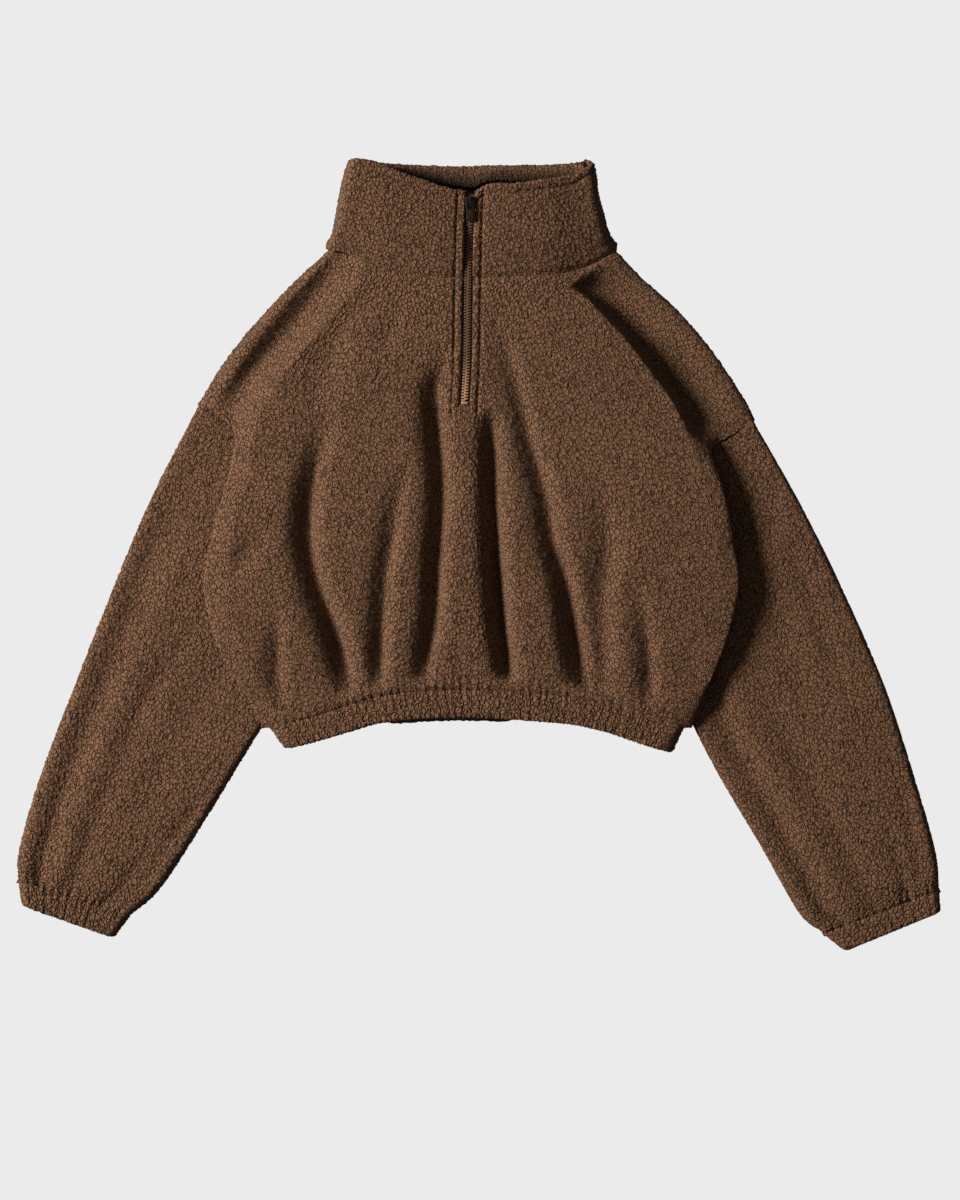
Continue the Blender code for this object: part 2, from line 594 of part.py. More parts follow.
ZIP_TOP_Y = 376.0  # top of the tapes
TAPE_DROP = 3.4  # the tapes' undersides lie this far below the cloth's face
CHAIN_GAP = 0.3  # between tapes and chain
STOP_YS = (ZIP_END_Y + 1.6, ZIP_END_Y + 4.6)
SLIDER_Y = 367.0  # middle of the slider
SLIDER_LONG = 13.0
SLIDER_WIDE = 10.2
PLATE_LOW = 0.8  # the slider's plate starts this far above the cloth's face
PLATE_THICK = 1.2
FLANGE_LOW = -1.7
FLANGE_THICK = 0.9
CROWN_SUNK = 0.4  # into the plate
CROWN_CLEAR = 0.45  # between crossbar and crown
CROWN_BACK = 3.4  # the crown's middle is this far below the hinge
CROWN_WIDE = 2.6
CROWN_LONG = 12.6
CROWN_THICK = 1.2
HINGE_RISE = 3.4  # crossbar's middle above the cloth
BAR_RADIUS = 0.75
HINGE_Y = 371.0
PULL_LONG = 24.0
PULL_WIDE = 8.6
PULL_THICK = 1.4
LOOP_WIDE = 5.6
LOOP_LONG = 11.2
PULL_ROUND = 2.5


def prism(outline, low, high):
    """A bmesh of an upright prism on an outline of (x, y) points."""
    bm = bmesh.new()
    face = bm.faces.new([bm.verts.new((x, y, low)) for x, y in outline])
    lifted = bmesh.ops.extrude_face_region(bm, geom=[face])["geom"]
    verts = [item for item in lifted if isinstance(item, bmesh.types.BMVert)]
    bmesh.ops.translate(bm, vec=(0, 0, high - low), verts=verts)
    return bm


def make_slider():
    """Slider: a plate over the chain with two flanges, and the crown that holds the pull."""
    middle = float(zip_x(SLIDER_Y))
    level = float(zip_level(SLIDER_Y))
    half = SLIDER_WIDE / 2.0
    plate_high = PLATE_LOW + PLATE_THICK
    section = ((-half, FLANGE_LOW), (-half + FLANGE_THICK, FLANGE_LOW),
               (-half + FLANGE_THICK, PLATE_LOW), (half - FLANGE_THICK, PLATE_LOW),
               (half - FLANGE_THICK, FLANGE_LOW), (half, FLANGE_LOW),
               (half, plate_high), (CROWN_WIDE / 2, plate_high),
               (-CROWN_WIDE / 2, plate_high), (-half, plate_high))
    bm = bmesh.new()
    start = SLIDER_Y - SLIDER_LONG / 2.0
    face = bm.faces.new([bm.verts.new((middle + x, start, level + z)) for x, z in section])
    lifted = bmesh.ops.extrude_face_region(bm, geom=[face])["geom"]
    verts = [item for item in lifted if isinstance(item, bmesh.types.BMVert)]
    bmesh.ops.translate(bm, vec=(0, SLIDER_LONG, 0), verts=verts)
    slider = add_object("zip_slider", bm, METAL)

    # the crown is a bridge seen from the side, sunk into the plate and joined to it
    half_long = CROWN_LONG / 2.0
    under = HINGE_RISE + BAR_RADIUS + CROWN_CLEAR
    top = under + CROWN_THICK
    root = plate_high - CROWN_SUNK
    bridge = ((-half_long, root), (-half_long + CROWN_THICK, root),
              (-half_long + CROWN_THICK, under), (half_long - CROWN_THICK, under),
              (half_long - CROWN_THICK, root), (half_long, root),
              (half_long, top - 0.8), (half_long - 0.8, top),
              (-half_long + 2.5, top), (-half_long, top - 1.5))
    bm = bmesh.new()
    crown_y = HINGE_Y - CROWN_BACK
    face = bm.faces.new([bm.verts.new((middle - CROWN_WIDE / 2, crown_y + y, level + z))
                         for y, z in bridge])
    lifted = bmesh.ops.extrude_face_region(bm, geom=[face])["geom"]
    verts = [item for item in lifted if isinstance(item, bmesh.types.BMVert)]
    bmesh.ops.translate(bm, vec=(CROWN_WIDE, 0, 0), verts=verts)
    crown = add_object("crown", bm, METAL)
    crown.hide_render = True
    crown.display_type = "WIRE"
    join = slider.modifiers.new("crown", "BOOLEAN")
    join.operation = "UNION"
    join.object = crown


def make_pull():
    """Pull tab: a round crossbar, two arms and a plate with a rounded end."""
    middle = float(zip_x(HINGE_Y))
    level = float(zip_level(SLIDER_Y)) + HINGE_RISE
    half, loop = PULL_WIDE / 2.0, LOOP_WIDE / 2.0
    corner = [(half - PULL_ROUND + PULL_ROUND * math.cos(a),
               -PULL_LONG + PULL_ROUND - PULL_ROUND * math.sin(a))
              for a in np.linspace(0, math.pi / 2, 5)]
    right = [(half, -LOOP_LONG)] + corner
    plate = right + [(-x, y) for x, y in right[::-1]]
    outline = ([(half, BAR_RADIUS)] + plate + [(-half, BAR_RADIUS), (-loop, BAR_RADIUS),
               (-loop, -LOOP_LONG), (loop, -LOOP_LONG), (loop, BAR_RADIUS)])
    bm = prism(outline, -PULL_THICK / 2, PULL_THICK / 2)
    pull = add_object("zip_pull", bm, METAL)
    bm = bmesh.new()
    bar = bmesh.ops.create_cone(bm, cap_ends=True, segments=12, radius1=BAR_RADIUS,
                                radius2=BAR_RADIUS, depth=PULL_WIDE - 0.8)["verts"]
    bmesh.ops.rotate(bm, cent=(0, 0, 0), matrix=Matrix.Rotation(math.pi / 2, 3, "Y"), verts=bar)
    crossbar = add_object("crossbar", bm, METAL)
    crossbar.hide_render = True
    crossbar.display_type = "WIRE"
    place = (middle * MM, HINGE_Y * MM, level * MM)
    for piece in (pull, crossbar):
        piece.location = place
    join = pull.modifiers.new("crossbar", "BOOLEAN")
    join.operation = "UNION"
    join.object = crossbar


def make_zip():
    """Tapes, closed chain, end stops, slider and pull."""
    side = SLOT_HALF - 0.7 * SEAM
    between = 0.4 * SEAM
    ys = np.concatenate((np.linspace(ZIP_END_Y + 1.0, NECK_ZIP_Y - 3.0, 14),
                         np.linspace(NECK_ZIP_Y + 3.0, ZIP_TOP_Y, 8)))
    low, high = -TAPE_DROP, TAPE_THICK - TAPE_DROP
    strip("zip_tape_left", -side, -between, low, high, ys, TAPE)
    strip("zip_tape_right", between, side, low, high, ys, TAPE)
    chain_low = high + CHAIN_GAP
    chain_ys = np.concatenate(([STOP_YS[1] + 0.4], ys[1:-1], [ZIP_TOP_Y - 4.0]))
    half = CHAIN_WIDTH / 2.0
    strip("zip_chain", -half, half, chain_low, chain_low + CHAIN_THICK, chain_ys, TEETH)
    strip("zip_bottom_stop", -half, half, chain_low, chain_low + CHAIN_THICK,
          np.array(STOP_YS), TEETH)
    make_slider()
    make_pull()


def main():
    """Build every piece of the garment."""
    for item in list(bpy.data.objects):
        bpy.data.objects.remove(item)
    make_front()
    make_back()
    make_collar()
    make_hem_band()
    for side in ("left", "right"):
        make_sleeve(side)
        make_cuff(side)
    make_zip()


main()
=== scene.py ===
"""Brown sherpa pullover with a stand collar and a short zip, laid flat, seen from above.

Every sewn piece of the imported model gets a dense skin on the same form, with its
pile, gathers, seams and creases. Tables are in millimetres, in the model's frame:
x to the right as seen, y up to the collar, z up from the surface it lies on.
"""

import logging
import math
from collections.abc import Callable, Sequence
from dataclasses import dataclass, field
from enum import Enum

import bmesh
import bpy
import numpy as np
from mathutils import Matrix, Vector


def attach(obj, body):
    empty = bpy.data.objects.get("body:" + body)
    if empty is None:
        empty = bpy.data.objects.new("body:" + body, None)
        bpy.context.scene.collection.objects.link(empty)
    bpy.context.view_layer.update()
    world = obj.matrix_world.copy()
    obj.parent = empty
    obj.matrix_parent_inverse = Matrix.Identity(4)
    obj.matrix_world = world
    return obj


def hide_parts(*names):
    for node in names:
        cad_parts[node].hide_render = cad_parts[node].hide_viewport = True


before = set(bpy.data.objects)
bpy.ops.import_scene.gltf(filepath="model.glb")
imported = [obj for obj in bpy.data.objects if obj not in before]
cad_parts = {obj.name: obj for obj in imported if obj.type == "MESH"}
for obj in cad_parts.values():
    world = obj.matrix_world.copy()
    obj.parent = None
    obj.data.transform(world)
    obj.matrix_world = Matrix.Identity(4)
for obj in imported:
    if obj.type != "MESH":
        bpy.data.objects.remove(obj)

log = logging.getLogger("pullover")
MM = 0.001

Rows = tuple[tuple[float, ...], ...]
Places = float | np.ndarray


class Side(Enum):
    """The side as it is seen, and its sign along x."""

    LEFT = -1
    RIGHT = 1

    @property
    def word(self) -> str:
        """The side's name in node names."""
        return self.name.lower()


# ---- sizes shared with the solids ----
CLOTH = 4.0
SLOT_COLUMNS = 6
DOUBLE_CLOTH = 7.0
SEAM = 0.5
SLOT_HALF = 6.0
ZIP_END_Y = 155.0
NECK_ZIP_Y = 289.0
WAIST_LEVEL = -6.0
CHEST_LEVEL = 267.0
NECK_LEVEL = 320.0
HEM_LEVEL = -175.0

RIM_COLUMNS = ("level", "seam_x", "seam_z", "under_x", "under_z", "edge_x", "edge_z", "crest_x")
LEFT_RIM = (
    (320, -160, 9.5, -152, 15.0, -144, 17.5, -118),
    (292, -190, 9.5, -180, 17.5, -158, 13.0, -124),
    (267, -215, 9.5, -203, 19.0, -176, 11.5, -140),
    (225, -252, 9.5, -237, 19.5, -210, 11.0, -174),
    (204, -268, 9.5, -252, 19.0, -228, 11.5, -193),
    (183, -282, 9.5, -266, 17.5, -242, 12.0, -208),
    (163, -293, 9.5, -276, 15.0, -253, 13.0, -218),
    (157, -296, 9.5, -280, 14.5, -255, 13.5, -223),
    (152, -289, 9.7, -276, 14.0, -257, 14.0, -225),
    (141, -273, 10.5, -266, 13.5, -258, 15.5, -229),
    (125, -249, 13.8, -252, 15.0, -257, 21.0, -233),
    (99, -219, 15.5, -240, 15.5, -260, 24.0, -238),
    (78, -197, 15.5, -242, 15.5, -265, 25.0, -241),
    (47, -166, 15.5, -243, 15.5, -274, 26.0, -252),
    (15, -142, 15.5, -241, 15.5, -281, 26.0, -260),
    (-27, -151, 14.0, -162, 15.5, -284, 26.0, -262),
    (-69, -162, 9.0, -178, 15.5, -279, 26.0, -256),
    (-111, -173, 6.5, -194, 15.5, -265, 26.0, -242),
    (-142, -182, 6.5, -208, 15.5, -247, 24.0, -224),
    (-175, -190, 6.5, -221, 15.0, -229, 20.0, -205),
)
RIGHT_RIM = (
    (320, 144, 9.5, 138, 14.0, 131, 16.0, 113),
    (306, 157, 9.5, 149, 13.5, 123, 18.0, 104),
    (292, 170, 9.5, 159, 13.0, 115, 15.0, 94),
    (267, 198, 9.5, 186, 12.5, 131, 9.5, 112),
    (225, 236, 9.5, 224, 12.5, 170, 9.0, 151),
    (183, 266, 9.5, 253, 12.5, 200, 9.0, 183),
    (157, 282, 9.5, 268, 13.0, 217, 10.5, 202),
    (147, 287, 9.6, 269, 13.0, 222, 12.0, 207),
    (141, 289, 10.0, 267, 13.0, 225, 14.0, 209),
    (136, 282, 11.0, 262, 13.5, 228, 17.0, 212),
    (125, 264, 14.3, 253, 15.3, 233, 22.0, 216),
    (117, 249, 14.6, 248, 15.5, 238, 26.0, 221),
    (99, 229, 15.5, 236, 15.5, 243, 30.0, 227),
    (78, 208, 15.5, 236, 16.0, 251, 32.0, 235),
    (47, 176, 15.5, 236, 16.0, 259, 33.0, 243),
    (15, 146, 15.5, 232, 16.0, 264, 33.0, 248),
    (-27, 149, 13.0, 161, 17.0, 266, 33.0, 249),
    (-69, 161, 8.5, 179, 16.5, 260, 33.0, 243),
    (-111, 172, 6.5, 197, 16.0, 248, 31.0, 231),
    (-142, 181, 6.0, 210, 15.5, 235, 27.0, 214),
    (-175, 189, 6.0, 214, 14.5, 222, 20.0, 198),
)
RIMS = {Side.LEFT: LEFT_RIM, Side.RIGHT: RIGHT_RIM}
ARMHOLE_LEVELS = {Side.LEFT: (157.0, 15.0), Side.RIGHT: (141.0, 15.0)}

FRONT_HEIGHT = ((-175, 30), (-150, 31), (-115, 35), (-60, 40), (20, 41), (80, 39),
                (160, 37), (225, 35), (267, 32), (292, 29), (320, 26))
ZIP_LINE = ((155, -16.5), (200, -14.0), (265, -13.1), (345, -11.2), (381, -9.7))
NECK_FRONT = ((-162, 320), (-147, 319), (-119, 309), (-104, 303), (-82, 298), (-65, 293),
              (-20, 289), (3, 289), (57, 293), (97, 298), (122, 306), (144, 319))
NECK_BACK_Y = 327.0
COLLAR_TOP_FRONT = ((-137, 414), (-111, 410), (-80, 398), (-59, 391), (-38, 384), (-19, 380),
                    (-5, 379.5), (4, 384.5), (37, 387.5), (68, 392.5), (89, 396), (100, 399),
                    (109, 405), (122, 411))
COLLAR_TOP_BACK = ((-137, 416), (-128, 417), (-111, 413), (-90, 412), (-27, 410), (26, 411),
                   (68, 411.5), (100, 414), (112, 416), (122, 413))
COLLAR_LEFT = ((320, -162), (330, -157), (356, -151), (381, -147), (406, -141), (417, -137))
COLLAR_RIGHT = ((320, 144), (330, 138), (356, 131), (381, 125), (406, 122), (417, 120))
COLLAR_HEIGHT = ((320, 29), (345, 34), (360, 36), (381, 36.5), (417, 37))
# how the collar's front half falls away from the zip: x, z at its top edge
COLLAR_CROWN = ((-141, 4), (-118, 5), (-90, 4.5), (-60, 3), (-35, 1), (-18, 0), (-4, 0),
                (10, 2), (25, 2.5), (50, 0), (75, -4), (95, -9), (120, -13))
COLLAR_BASE = ((-141, 0), (-118, 1), (-60, 1), (0, 0), (50, 0), (75, -1.5), (97, -6),
               (113, -9.5), (132, -13))  # x, z: the same along the neck seam
COLLAR_RISE = 97.0
COLLAR_ZIP_TOP = 380.0
COLLAR_FOLD = 12.0
COLLAR_RIM = 14.0
COLLAR_GAP = 2.6 * SEAM
ZIP_STITCH = 7.5
ZIP_STITCH_DEPTH = 2.0
BOX_STITCH_Y = 148.0
BAND_TOP = ((-224, -178), (-200, -175), (-145, -158), (-105, -146.5), (-63, -141), (0, -140),
            (59, -143.5), (100, -148.5), (136, -157), (173, -169.5), (200, -176), (216, -178))
BAND_FOOT = ((-205, -203), (-178, -197), (-145, -187.5), (-105, -176), (-63, -171.5),
             (0, -170.5), (59, -174), (100, -178), (136, -186.5), (173, -199), (202, -207.5))
BAND_TOP_ENDS = (-223.0, 216.0)
BAND_FOOT_ENDS = (-205.0, 202.0)
BAND_HEIGHT = 28.0
BAND_GATHERS = 50
BACK_PEEK = 4.0
SEAM_TUCK = 4.0
SEAM_HALF = 3.0
STITCH_HALF = 1.6
PEEK_SPAN = (-105.0, 42.0)

ZIP_TOP_Y = 376.0
TAPE_LOW = -2.4
TAPE_HALF = 5.65
STOP_Y = 158.1
CHAIN_START_Y = 160.9
CHAIN_END_Y = 371.2
CHAIN_MIDDLE = -0.6
SLIDER_Y = 367.0
HINGE_Y = 371.0
HINGE_RISE = 3.4
CROWN_Y = HINGE_Y - 3.4

# outer_x, outer_y, inner_x, inner_y, height
LEFT_SLEEVE = (
    (-295, 157, -144, 13, 13.0),
    (-347, 57, -167, -43, 14.0),
    (-386, -35, -194, -123, 14.0),
    (-426, -136, -241, -199, 15.0),
    (-464, -237, -291, -281, 18.0),
    (-485, -312, -336, -350, 20.0),
    (-486, -341, -369, -380, 19.0),
)
RIGHT_SLEEVE = (
    (289, 141, 141, 13, 13.0),
    (339, 52, 156, -31, 14.0),
    (382, -35, 196, -120, 14.0),
    (426, -136, 244, -219, 15.0),
    (459, -237, 297, -310, 18.0),
    (480, -312, 336, -378, 20.0),
    (484, -351, 360, -398, 19.0),
)
SLEEVES = {Side.LEFT: LEFT_SLEEVE, Side.RIGHT: RIGHT_SLEEVE}
SLEEVE_LEAD = 1.2
RING_STEP = 90.0
LEFT_CUFF = ((-486, -342, -369, -381, 19.0), (-482, -369, -386, -403, 18.0))
RIGHT_CUFF = ((484, -352, 360, -399, 19.0), (486, -376, 384, -418, 18.0))
CUFFS = {Side.LEFT: LEFT_CUFF, Side.RIGHT: RIGHT_CUFF}
CUFF_GATHERS = 14


FOLD_POWER = 1.8  # how square a fold's section is; 2 is a plain bell


@dataclass(frozen=True)
class Fold:
    """A long trough down the front, gentle on its left and steep on its right.

    Args:
        route: points (x, y, depth) from its top to its foot, with no depth at both
            ends; a negative depth is a ridge.
        gentle, steep: half-widths of the two sides.
    """

    route: Rows
    gentle: float
    steep: float

    def drop(self, x: Places, y: Places) -> Places:
        """Depth of the fold at each point."""
        xs, ys, depths = zip(*self.route[::-1])
        away = x - smooth(y, ys, xs)
        width = np.where(away < 0.0, self.gentle, self.steep)
        return smooth(y, ys, depths) * np.exp(-(np.abs(away / width) ** FOLD_POWER))


FRONT_FOLDS = {
    "zip_left": Fold(((-30, 228, 0), (-39, 200, 4), (-46, 175, 11), (-45, 141, 16), (-40, 85, 16),
                      (-40, 50, 16), (-44, -6, 17), (-48, -69, 16), (-55, -111, 13),
                      (-59, -140, 5), (-60, -165, 0)), 14, 9),
    "zip_foot": Fold(((12, 154, 0), (12, 136, 10), (13, 110, 16), (14, 60, 19), (16, 15, 21),
                      (19, -30, 23), (23, -75, 23), (28, -111, 19), (32, -140, 8),
                      (34, -167, 0)), 12, 9),
    "right_inner": Fold(((15, 256, 0), (30, 204, 5), (43, 160, 8), (55, 110, 11), (69, 60, 12),
                         (76, 15, 14), (90, -30, 17), (98, -75, 19), (104, -111, 17),
                         (109, -140, 7), (111, -167, 0)), 15, 9),
    "left_outer": Fold(((-158, 150, 0), (-164, 120, 6), (-174, 80, 13), (-179, 36, 17),
                        (-178, 5, 17), (-170, -30, 17), (-155, -70, 18), (-143, -111, 18),
                        (-137, -142, 8), (-134, -170, 0)), 16, 10),
    "left_sweep": Fold(((-96, 292, 0), (-128, 262, 4), (-150, 225, 6), (-165, 183, 6),
                        (-172, 141, 4), (-180, 90, 0)), 30, 20),
    "left_inner": Fold(((-75, 100, 0), (-86, 57, 6), (-92, 15, 9), (-99, -30, 10),
                        (-102, -69, 11), (-104, -111, 12), (-105, -142, 6), (-106, -168, 0)),
                       14, 8),
    "left_neck": Fold(((-76, 284, 0), (-85, 255, 2.5), (-95, 232, 3), (-104, 200, 0)), 15, 11),
    "right_outer": Fold(((126, 84, 0), (131, 40, 5), (134, 15, 8), (130, -27, 9), (127, -69, 9),
                         (130, -105, 10), (127, -142, 6), (126, -168, 0)), 19, 12),
    "right_side": Fold(((162, -12, 0), (170, -58, 4), (176, -95, 7), (178, -135, 7),
                        (178, -168, 0)), 13, 8),
    "left_side": Fold(((-213, -46, 0), (-211, -85, 5), (-212, -111, 8), (-211, -140, 6),
                       (-208, -168, 0)), 13, 8),
    "right_neck": Fold(((130, 322, 9), (118, 308, 7.5), (104, 296, 4), (88, 285, 0)), 24, 24),
    "left_pinch": Fold(((-222, 36, 0), (-238, 8, 5), (-250, -10, 5), (-266, -38, 0)), 18, 14),
}
SHOULDER_FOLDS = {
    "right_seam": Fold(((178, 280, 0), (189, 267, 2), (207, 246, 3), (228, 225, 3),
                        (241, 204, 3), (257, 183, 3), (271, 162, 2), (284, 140, 0)), 5, 5),
}
ROLL_OFF = 2.0
ROLL_REACH = 34.0
HEM_EDGE = 30.5
BLOUSE = 24.0
FOLD_END = 18.0
CREASE_END = 0.2  # share of a sleeve crease over which each end fades


@dataclass(frozen=True)
class SleeveCrease:
    """A soft trough on a sleeve; a negative depth is a ridge.

    Args:
        start, end: (station, share, depth) of its ends; stations count the sleeve's
            rings from the armhole, and share runs from the outer edge to the inner one.
        half_width: as a share of the sleeve's width.
    """

    start: tuple
    end: tuple
    half_width: float

    def drop(self, station: float, share: np.ndarray) -> np.ndarray:
        """Depth of the crease at each share of the sleeve's width."""
        along_it = (station - self.start[0]) / (self.end[0] - self.start[0])
        middle, depth = (a + (b - a) * np.clip(along_it, 0.0, 1.0)
                         for a, b in zip(self.start[1:], self.end[1:]))
        fade = float(ease(along_it / CREASE_END) * ease((1.0 - along_it) / CREASE_END))
        return depth * fade * np.exp(-(((share - middle) / self.half_width) ** 2))


SLEEVE_CREASES = {
    Side.LEFT: (
        SleeveCrease((0.1, 0.11, 2.5), (6.7, 0.20, 6.5), 0.07),
        SleeveCrease((0.4, 0.72, 2.0), (4.6, 0.60, 2.0), 0.10),
        SleeveCrease((2.2, 0.38, 1.2), (6.3, 0.46, 2.2), 0.06),
        SleeveCrease((4.2, 0.80, 1.5), (6.8, 0.72, 3.0), 0.05),
        SleeveCrease((0.6, 0.24, -1.4), (6.2, 0.32, -1.6), 0.07),
        SleeveCrease((1.4, 0.50, 1.4), (3.4, 0.36, 1.0), 0.05),
        SleeveCrease((3.6, 0.92, 2.2), (5.4, 0.86, 1.6), 0.05),
    ),
    Side.RIGHT: (
        SleeveCrease((0.2, 0.86, 3.0), (6.7, 0.82, 6.0), 0.07),
        SleeveCrease((0.2, 0.30, 2.2), (3.6, 0.44, 1.8), 0.10),
        SleeveCrease((2.2, 0.60, 1.4), (6.2, 0.50, 2.4), 0.06),
        SleeveCrease((4.0, 0.24, 1.6), (6.8, 0.30, 2.8), 0.05),
        SleeveCrease((0.8, 0.74, -1.6), (6.0, 0.70, -1.6), 0.07),
        SleeveCrease((1.2, 0.14, 2.0), (3.0, 0.22, 1.2), 0.05),
        SleeveCrease((3.8, 0.10, 1.8), (5.6, 0.16, 2.0), 0.05),
    ),
}


@dataclass(frozen=True)
class SkinPlan:
    """How finely the skins are divided."""

    front_rows: int = 288
    front_side: tuple = (4, 9, 11)
    front_half: int = 116
    near_zip: int = 15
    sleeve_rows: int = 290
    sleeve_ring: tuple = (138, 12, 40)
    cuff_rows: tuple = (26, 7, 8)
    cuff_ring: tuple = (196, 12, 50)
    hem_rows: tuple = (22, 7, 8)
    hem_ring: tuple = (700, 10, 120)
    collar_rows: tuple = (62, 9, 46)
    collar_columns: tuple = (100, 16, 150)
    back_rows: int = 120
    back_ring: tuple = (40, 3, 130)


@dataclass(frozen=True)
class Pile:
    """The sherpa pile.

    Args:
        nub: distance between nubs.
        stretch: how much longer a nub is along y than across.
        depth: from the tips to the hollows between them.
    """

    nub: float = 3.9
    stretch: float = 1.2
    depth: float = 1.3


@dataclass(frozen=True)
class Tooth:
    """One tooth of the zip: its size, and the distance to the next on its own side."""

    size: tuple = (4.3, 1.75, 2.2)
    pitch: float = 3.0
    aside: float = 1.4
    bevel: float = 0.45


@dataclass(frozen=True)
class Stitch:
    """One stitch of the visible sewing: its size, and the distance to the next."""

    size: tuple = (0.8, 2.3, 0.7)
    pitch: float = 3.3
    bevel: float = 0.22


@dataclass(frozen=True)
class Pull:
    """The pull tab: a crossbar, a loop and a plate with a sunk panel, from its hinge down."""

    half: float = 4.3
    loop_half: float = 2.8
    loop_long: float = 11.2
    length: float = 24.0
    corner: float = 3.4
    thick: float = 1.4
    bar: float = 0.75
    bar_long: float = 7.8
    panel: float = 1.1
    sunk: float = 0.3
    bevel: float = 0.28


@dataclass(frozen=True)
class Finish:
    """A plain finish: colour (linear), roughness and metallic share."""

    colour: tuple
    roughness: float
    metallic: float = 0.0


# The pile's colour runs from the tips' colour to a far darker one in the hollows between nubs: the
# dark hollows are painted shade, where little light gets in.
PILE_TIP = (0.206, 0.101, 0.052)
PILE_HOLLOW_PAINTED_SHADE = (0.014, 0.006, 0.003)
TAPE = Finish((0.060, 0.031, 0.018), 0.85)
TEETH = Finish((0.190, 0.098, 0.056), 0.40, 0.35)
# Painted highlight: the bright copper of the lowest teeth, where they catch the light.
PAINTED_TEETH_HIGHLIGHT = (0.62, 0.33, 0.18)
METAL = Finish((0.040, 0.024, 0.017), 0.34, 0.75)
THREAD = Finish((0.120, 0.060, 0.034), 0.7)
PAPER = (0.831, 0.831, 0.831)

SKINS = SkinPlan()
PILE = Pile()
TOOTH = Tooth()
STITCH = Stitch()
PULL = Pull()


# ---- curves ----
def smooth(at: Places, knots: Sequence[float], values: Sequence[float]) -> Places:
    """Read a cubic curve through the knots, level past both ends.

    Args:
        at: places to read.
        knots, values: the curve's points, knots rising.

    Returns:
        The value at each place.
    """
    knots = np.asarray(knots, float)
    values = np.asarray(values, float)
    slopes = np.gradient(values, knots)
    at = np.clip(at, knots[0], knots[-1])
    i = np.clip(np.searchsorted(knots, at) - 1, 0, len(knots) - 2)
    span = knots[i + 1] - knots[i]
    t = (at - knots[i]) / span
    rise = t * t * (3.0 - 2.0 * t)
    return (values[i] + (values[i + 1] - values[i]) * rise
            + span * (slopes[i] * t * (1 - t) ** 2 - slopes[i + 1] * t * t * (1 - t)))


def along(table: Rows, at: Places) -> Places:
    """Read a table of (place, value) rows as a smooth curve."""
    places, values = zip(*sorted(table))
    return smooth(at, places, values)


def rim_value(rim: Rows, column: str, level: Places) -> Places:
    """Read one named column of a rim table.

    Args:
        rim: the table, from the neck down.
        column: one of RIM_COLUMNS.
        level: places to read, in nominal y.

    Returns:
        The column's value at each level.
    """
    index = RIM_COLUMNS.index(column)
    rows = rim[::-1]
    return smooth(level, [row[0] for row in rows], [row[index] for row in rows])


def ease(t: Places) -> Places:
    """Go from 0 to 1, level at both ends."""
    t = np.clip(t, 0.0, 1.0)
    return t * t * (3.0 - 2.0 * t)


def dip(distance: Places, width: float) -> Places:
    """A soft groove: 1 at distance 0, almost 0 beyond twice the width."""
    return np.exp(-((distance / width) ** 2))


def zip_x(y: Places) -> Places:
    """Middle of the zip at height y on the garment."""
    return along(ZIP_LINE, y)


def plain_front_height(x: Places, y: Places) -> Places:
    """Height of the front's surface with its main folds, as in the solids.

    Args:
        x, y: places on the front.

    Returns:
        The height at each place.
    """
    hem_gap = y - along(BAND_TOP, x)
    away_from_hem = np.clip(hem_gap / BLOUSE, 0.0, 1.0)
    fold_share = ease(hem_gap / FOLD_END)
    z = HEM_EDGE + (along(FRONT_HEIGHT, y) - HEM_EDGE) * (1.0 - (1.0 - away_from_hem) ** 2)
    for rim in RIMS.values():
        z = z - ROLL_OFF * dip(x - rim_value(rim, "crest_x", y), ROLL_REACH)
    return z - fold_share * sum(fold.drop(x, y) for fold in FRONT_FOLDS.values())


def zip_level(y: Places) -> Places:
    """Height of the cloth beside the zip, on the front and on the collar."""
    return np.where(y > NECK_ZIP_Y, along(COLLAR_HEIGHT, y), plain_front_height(zip_x(y), y))


def row_y(x: Places, level: Places) -> Places:
    """Real y of a nominal level: rows bend to the neck and to the hem band.

    Args:
        x: places across the garment.
        level: nominal y of the row.

    Returns:
        The y of the row at each x.
    """
    neck = CHEST_LEVEL + (level - CHEST_LEVEL) * (
        (along(NECK_FRONT, x) - CHEST_LEVEL) / (NECK_LEVEL - CHEST_LEVEL))
    hem = WAIST_LEVEL + (level - WAIST_LEVEL) * (
        (along(BAND_TOP, x) - WAIST_LEVEL) / (HEM_LEVEL - WAIST_LEVEL))
    return np.where(level > CHEST_LEVEL, neck, np.where(level < WAIST_LEVEL, hem, level))


def gathers(count: int, depth: float, share: np.ndarray) -> np.ndarray:
    """Uneven gathers across a band: a wave whose pitch and depth wander.

    Args:
        count: gathers across the whole width.
        depth: of the deepest hollow.
        share: places across the band, 0 to 1.

    Returns:
        Heights, 0 or below.
    """
    phase = count * (share + 0.006 * np.sin(19.0 * share)
                     + 0.004 * np.sin(53.0 * share + 1.3))
    size = 0.6 + 0.25 * np.sin(31.0 * share) + 0.15 * np.sin(83.0 * share)
    ends = ease(share / 0.04) * ease((1.0 - share) / 0.04)
    return depth * ends * size * (np.cos(2.0 * math.pi * phase) - 1.0) / 2.0


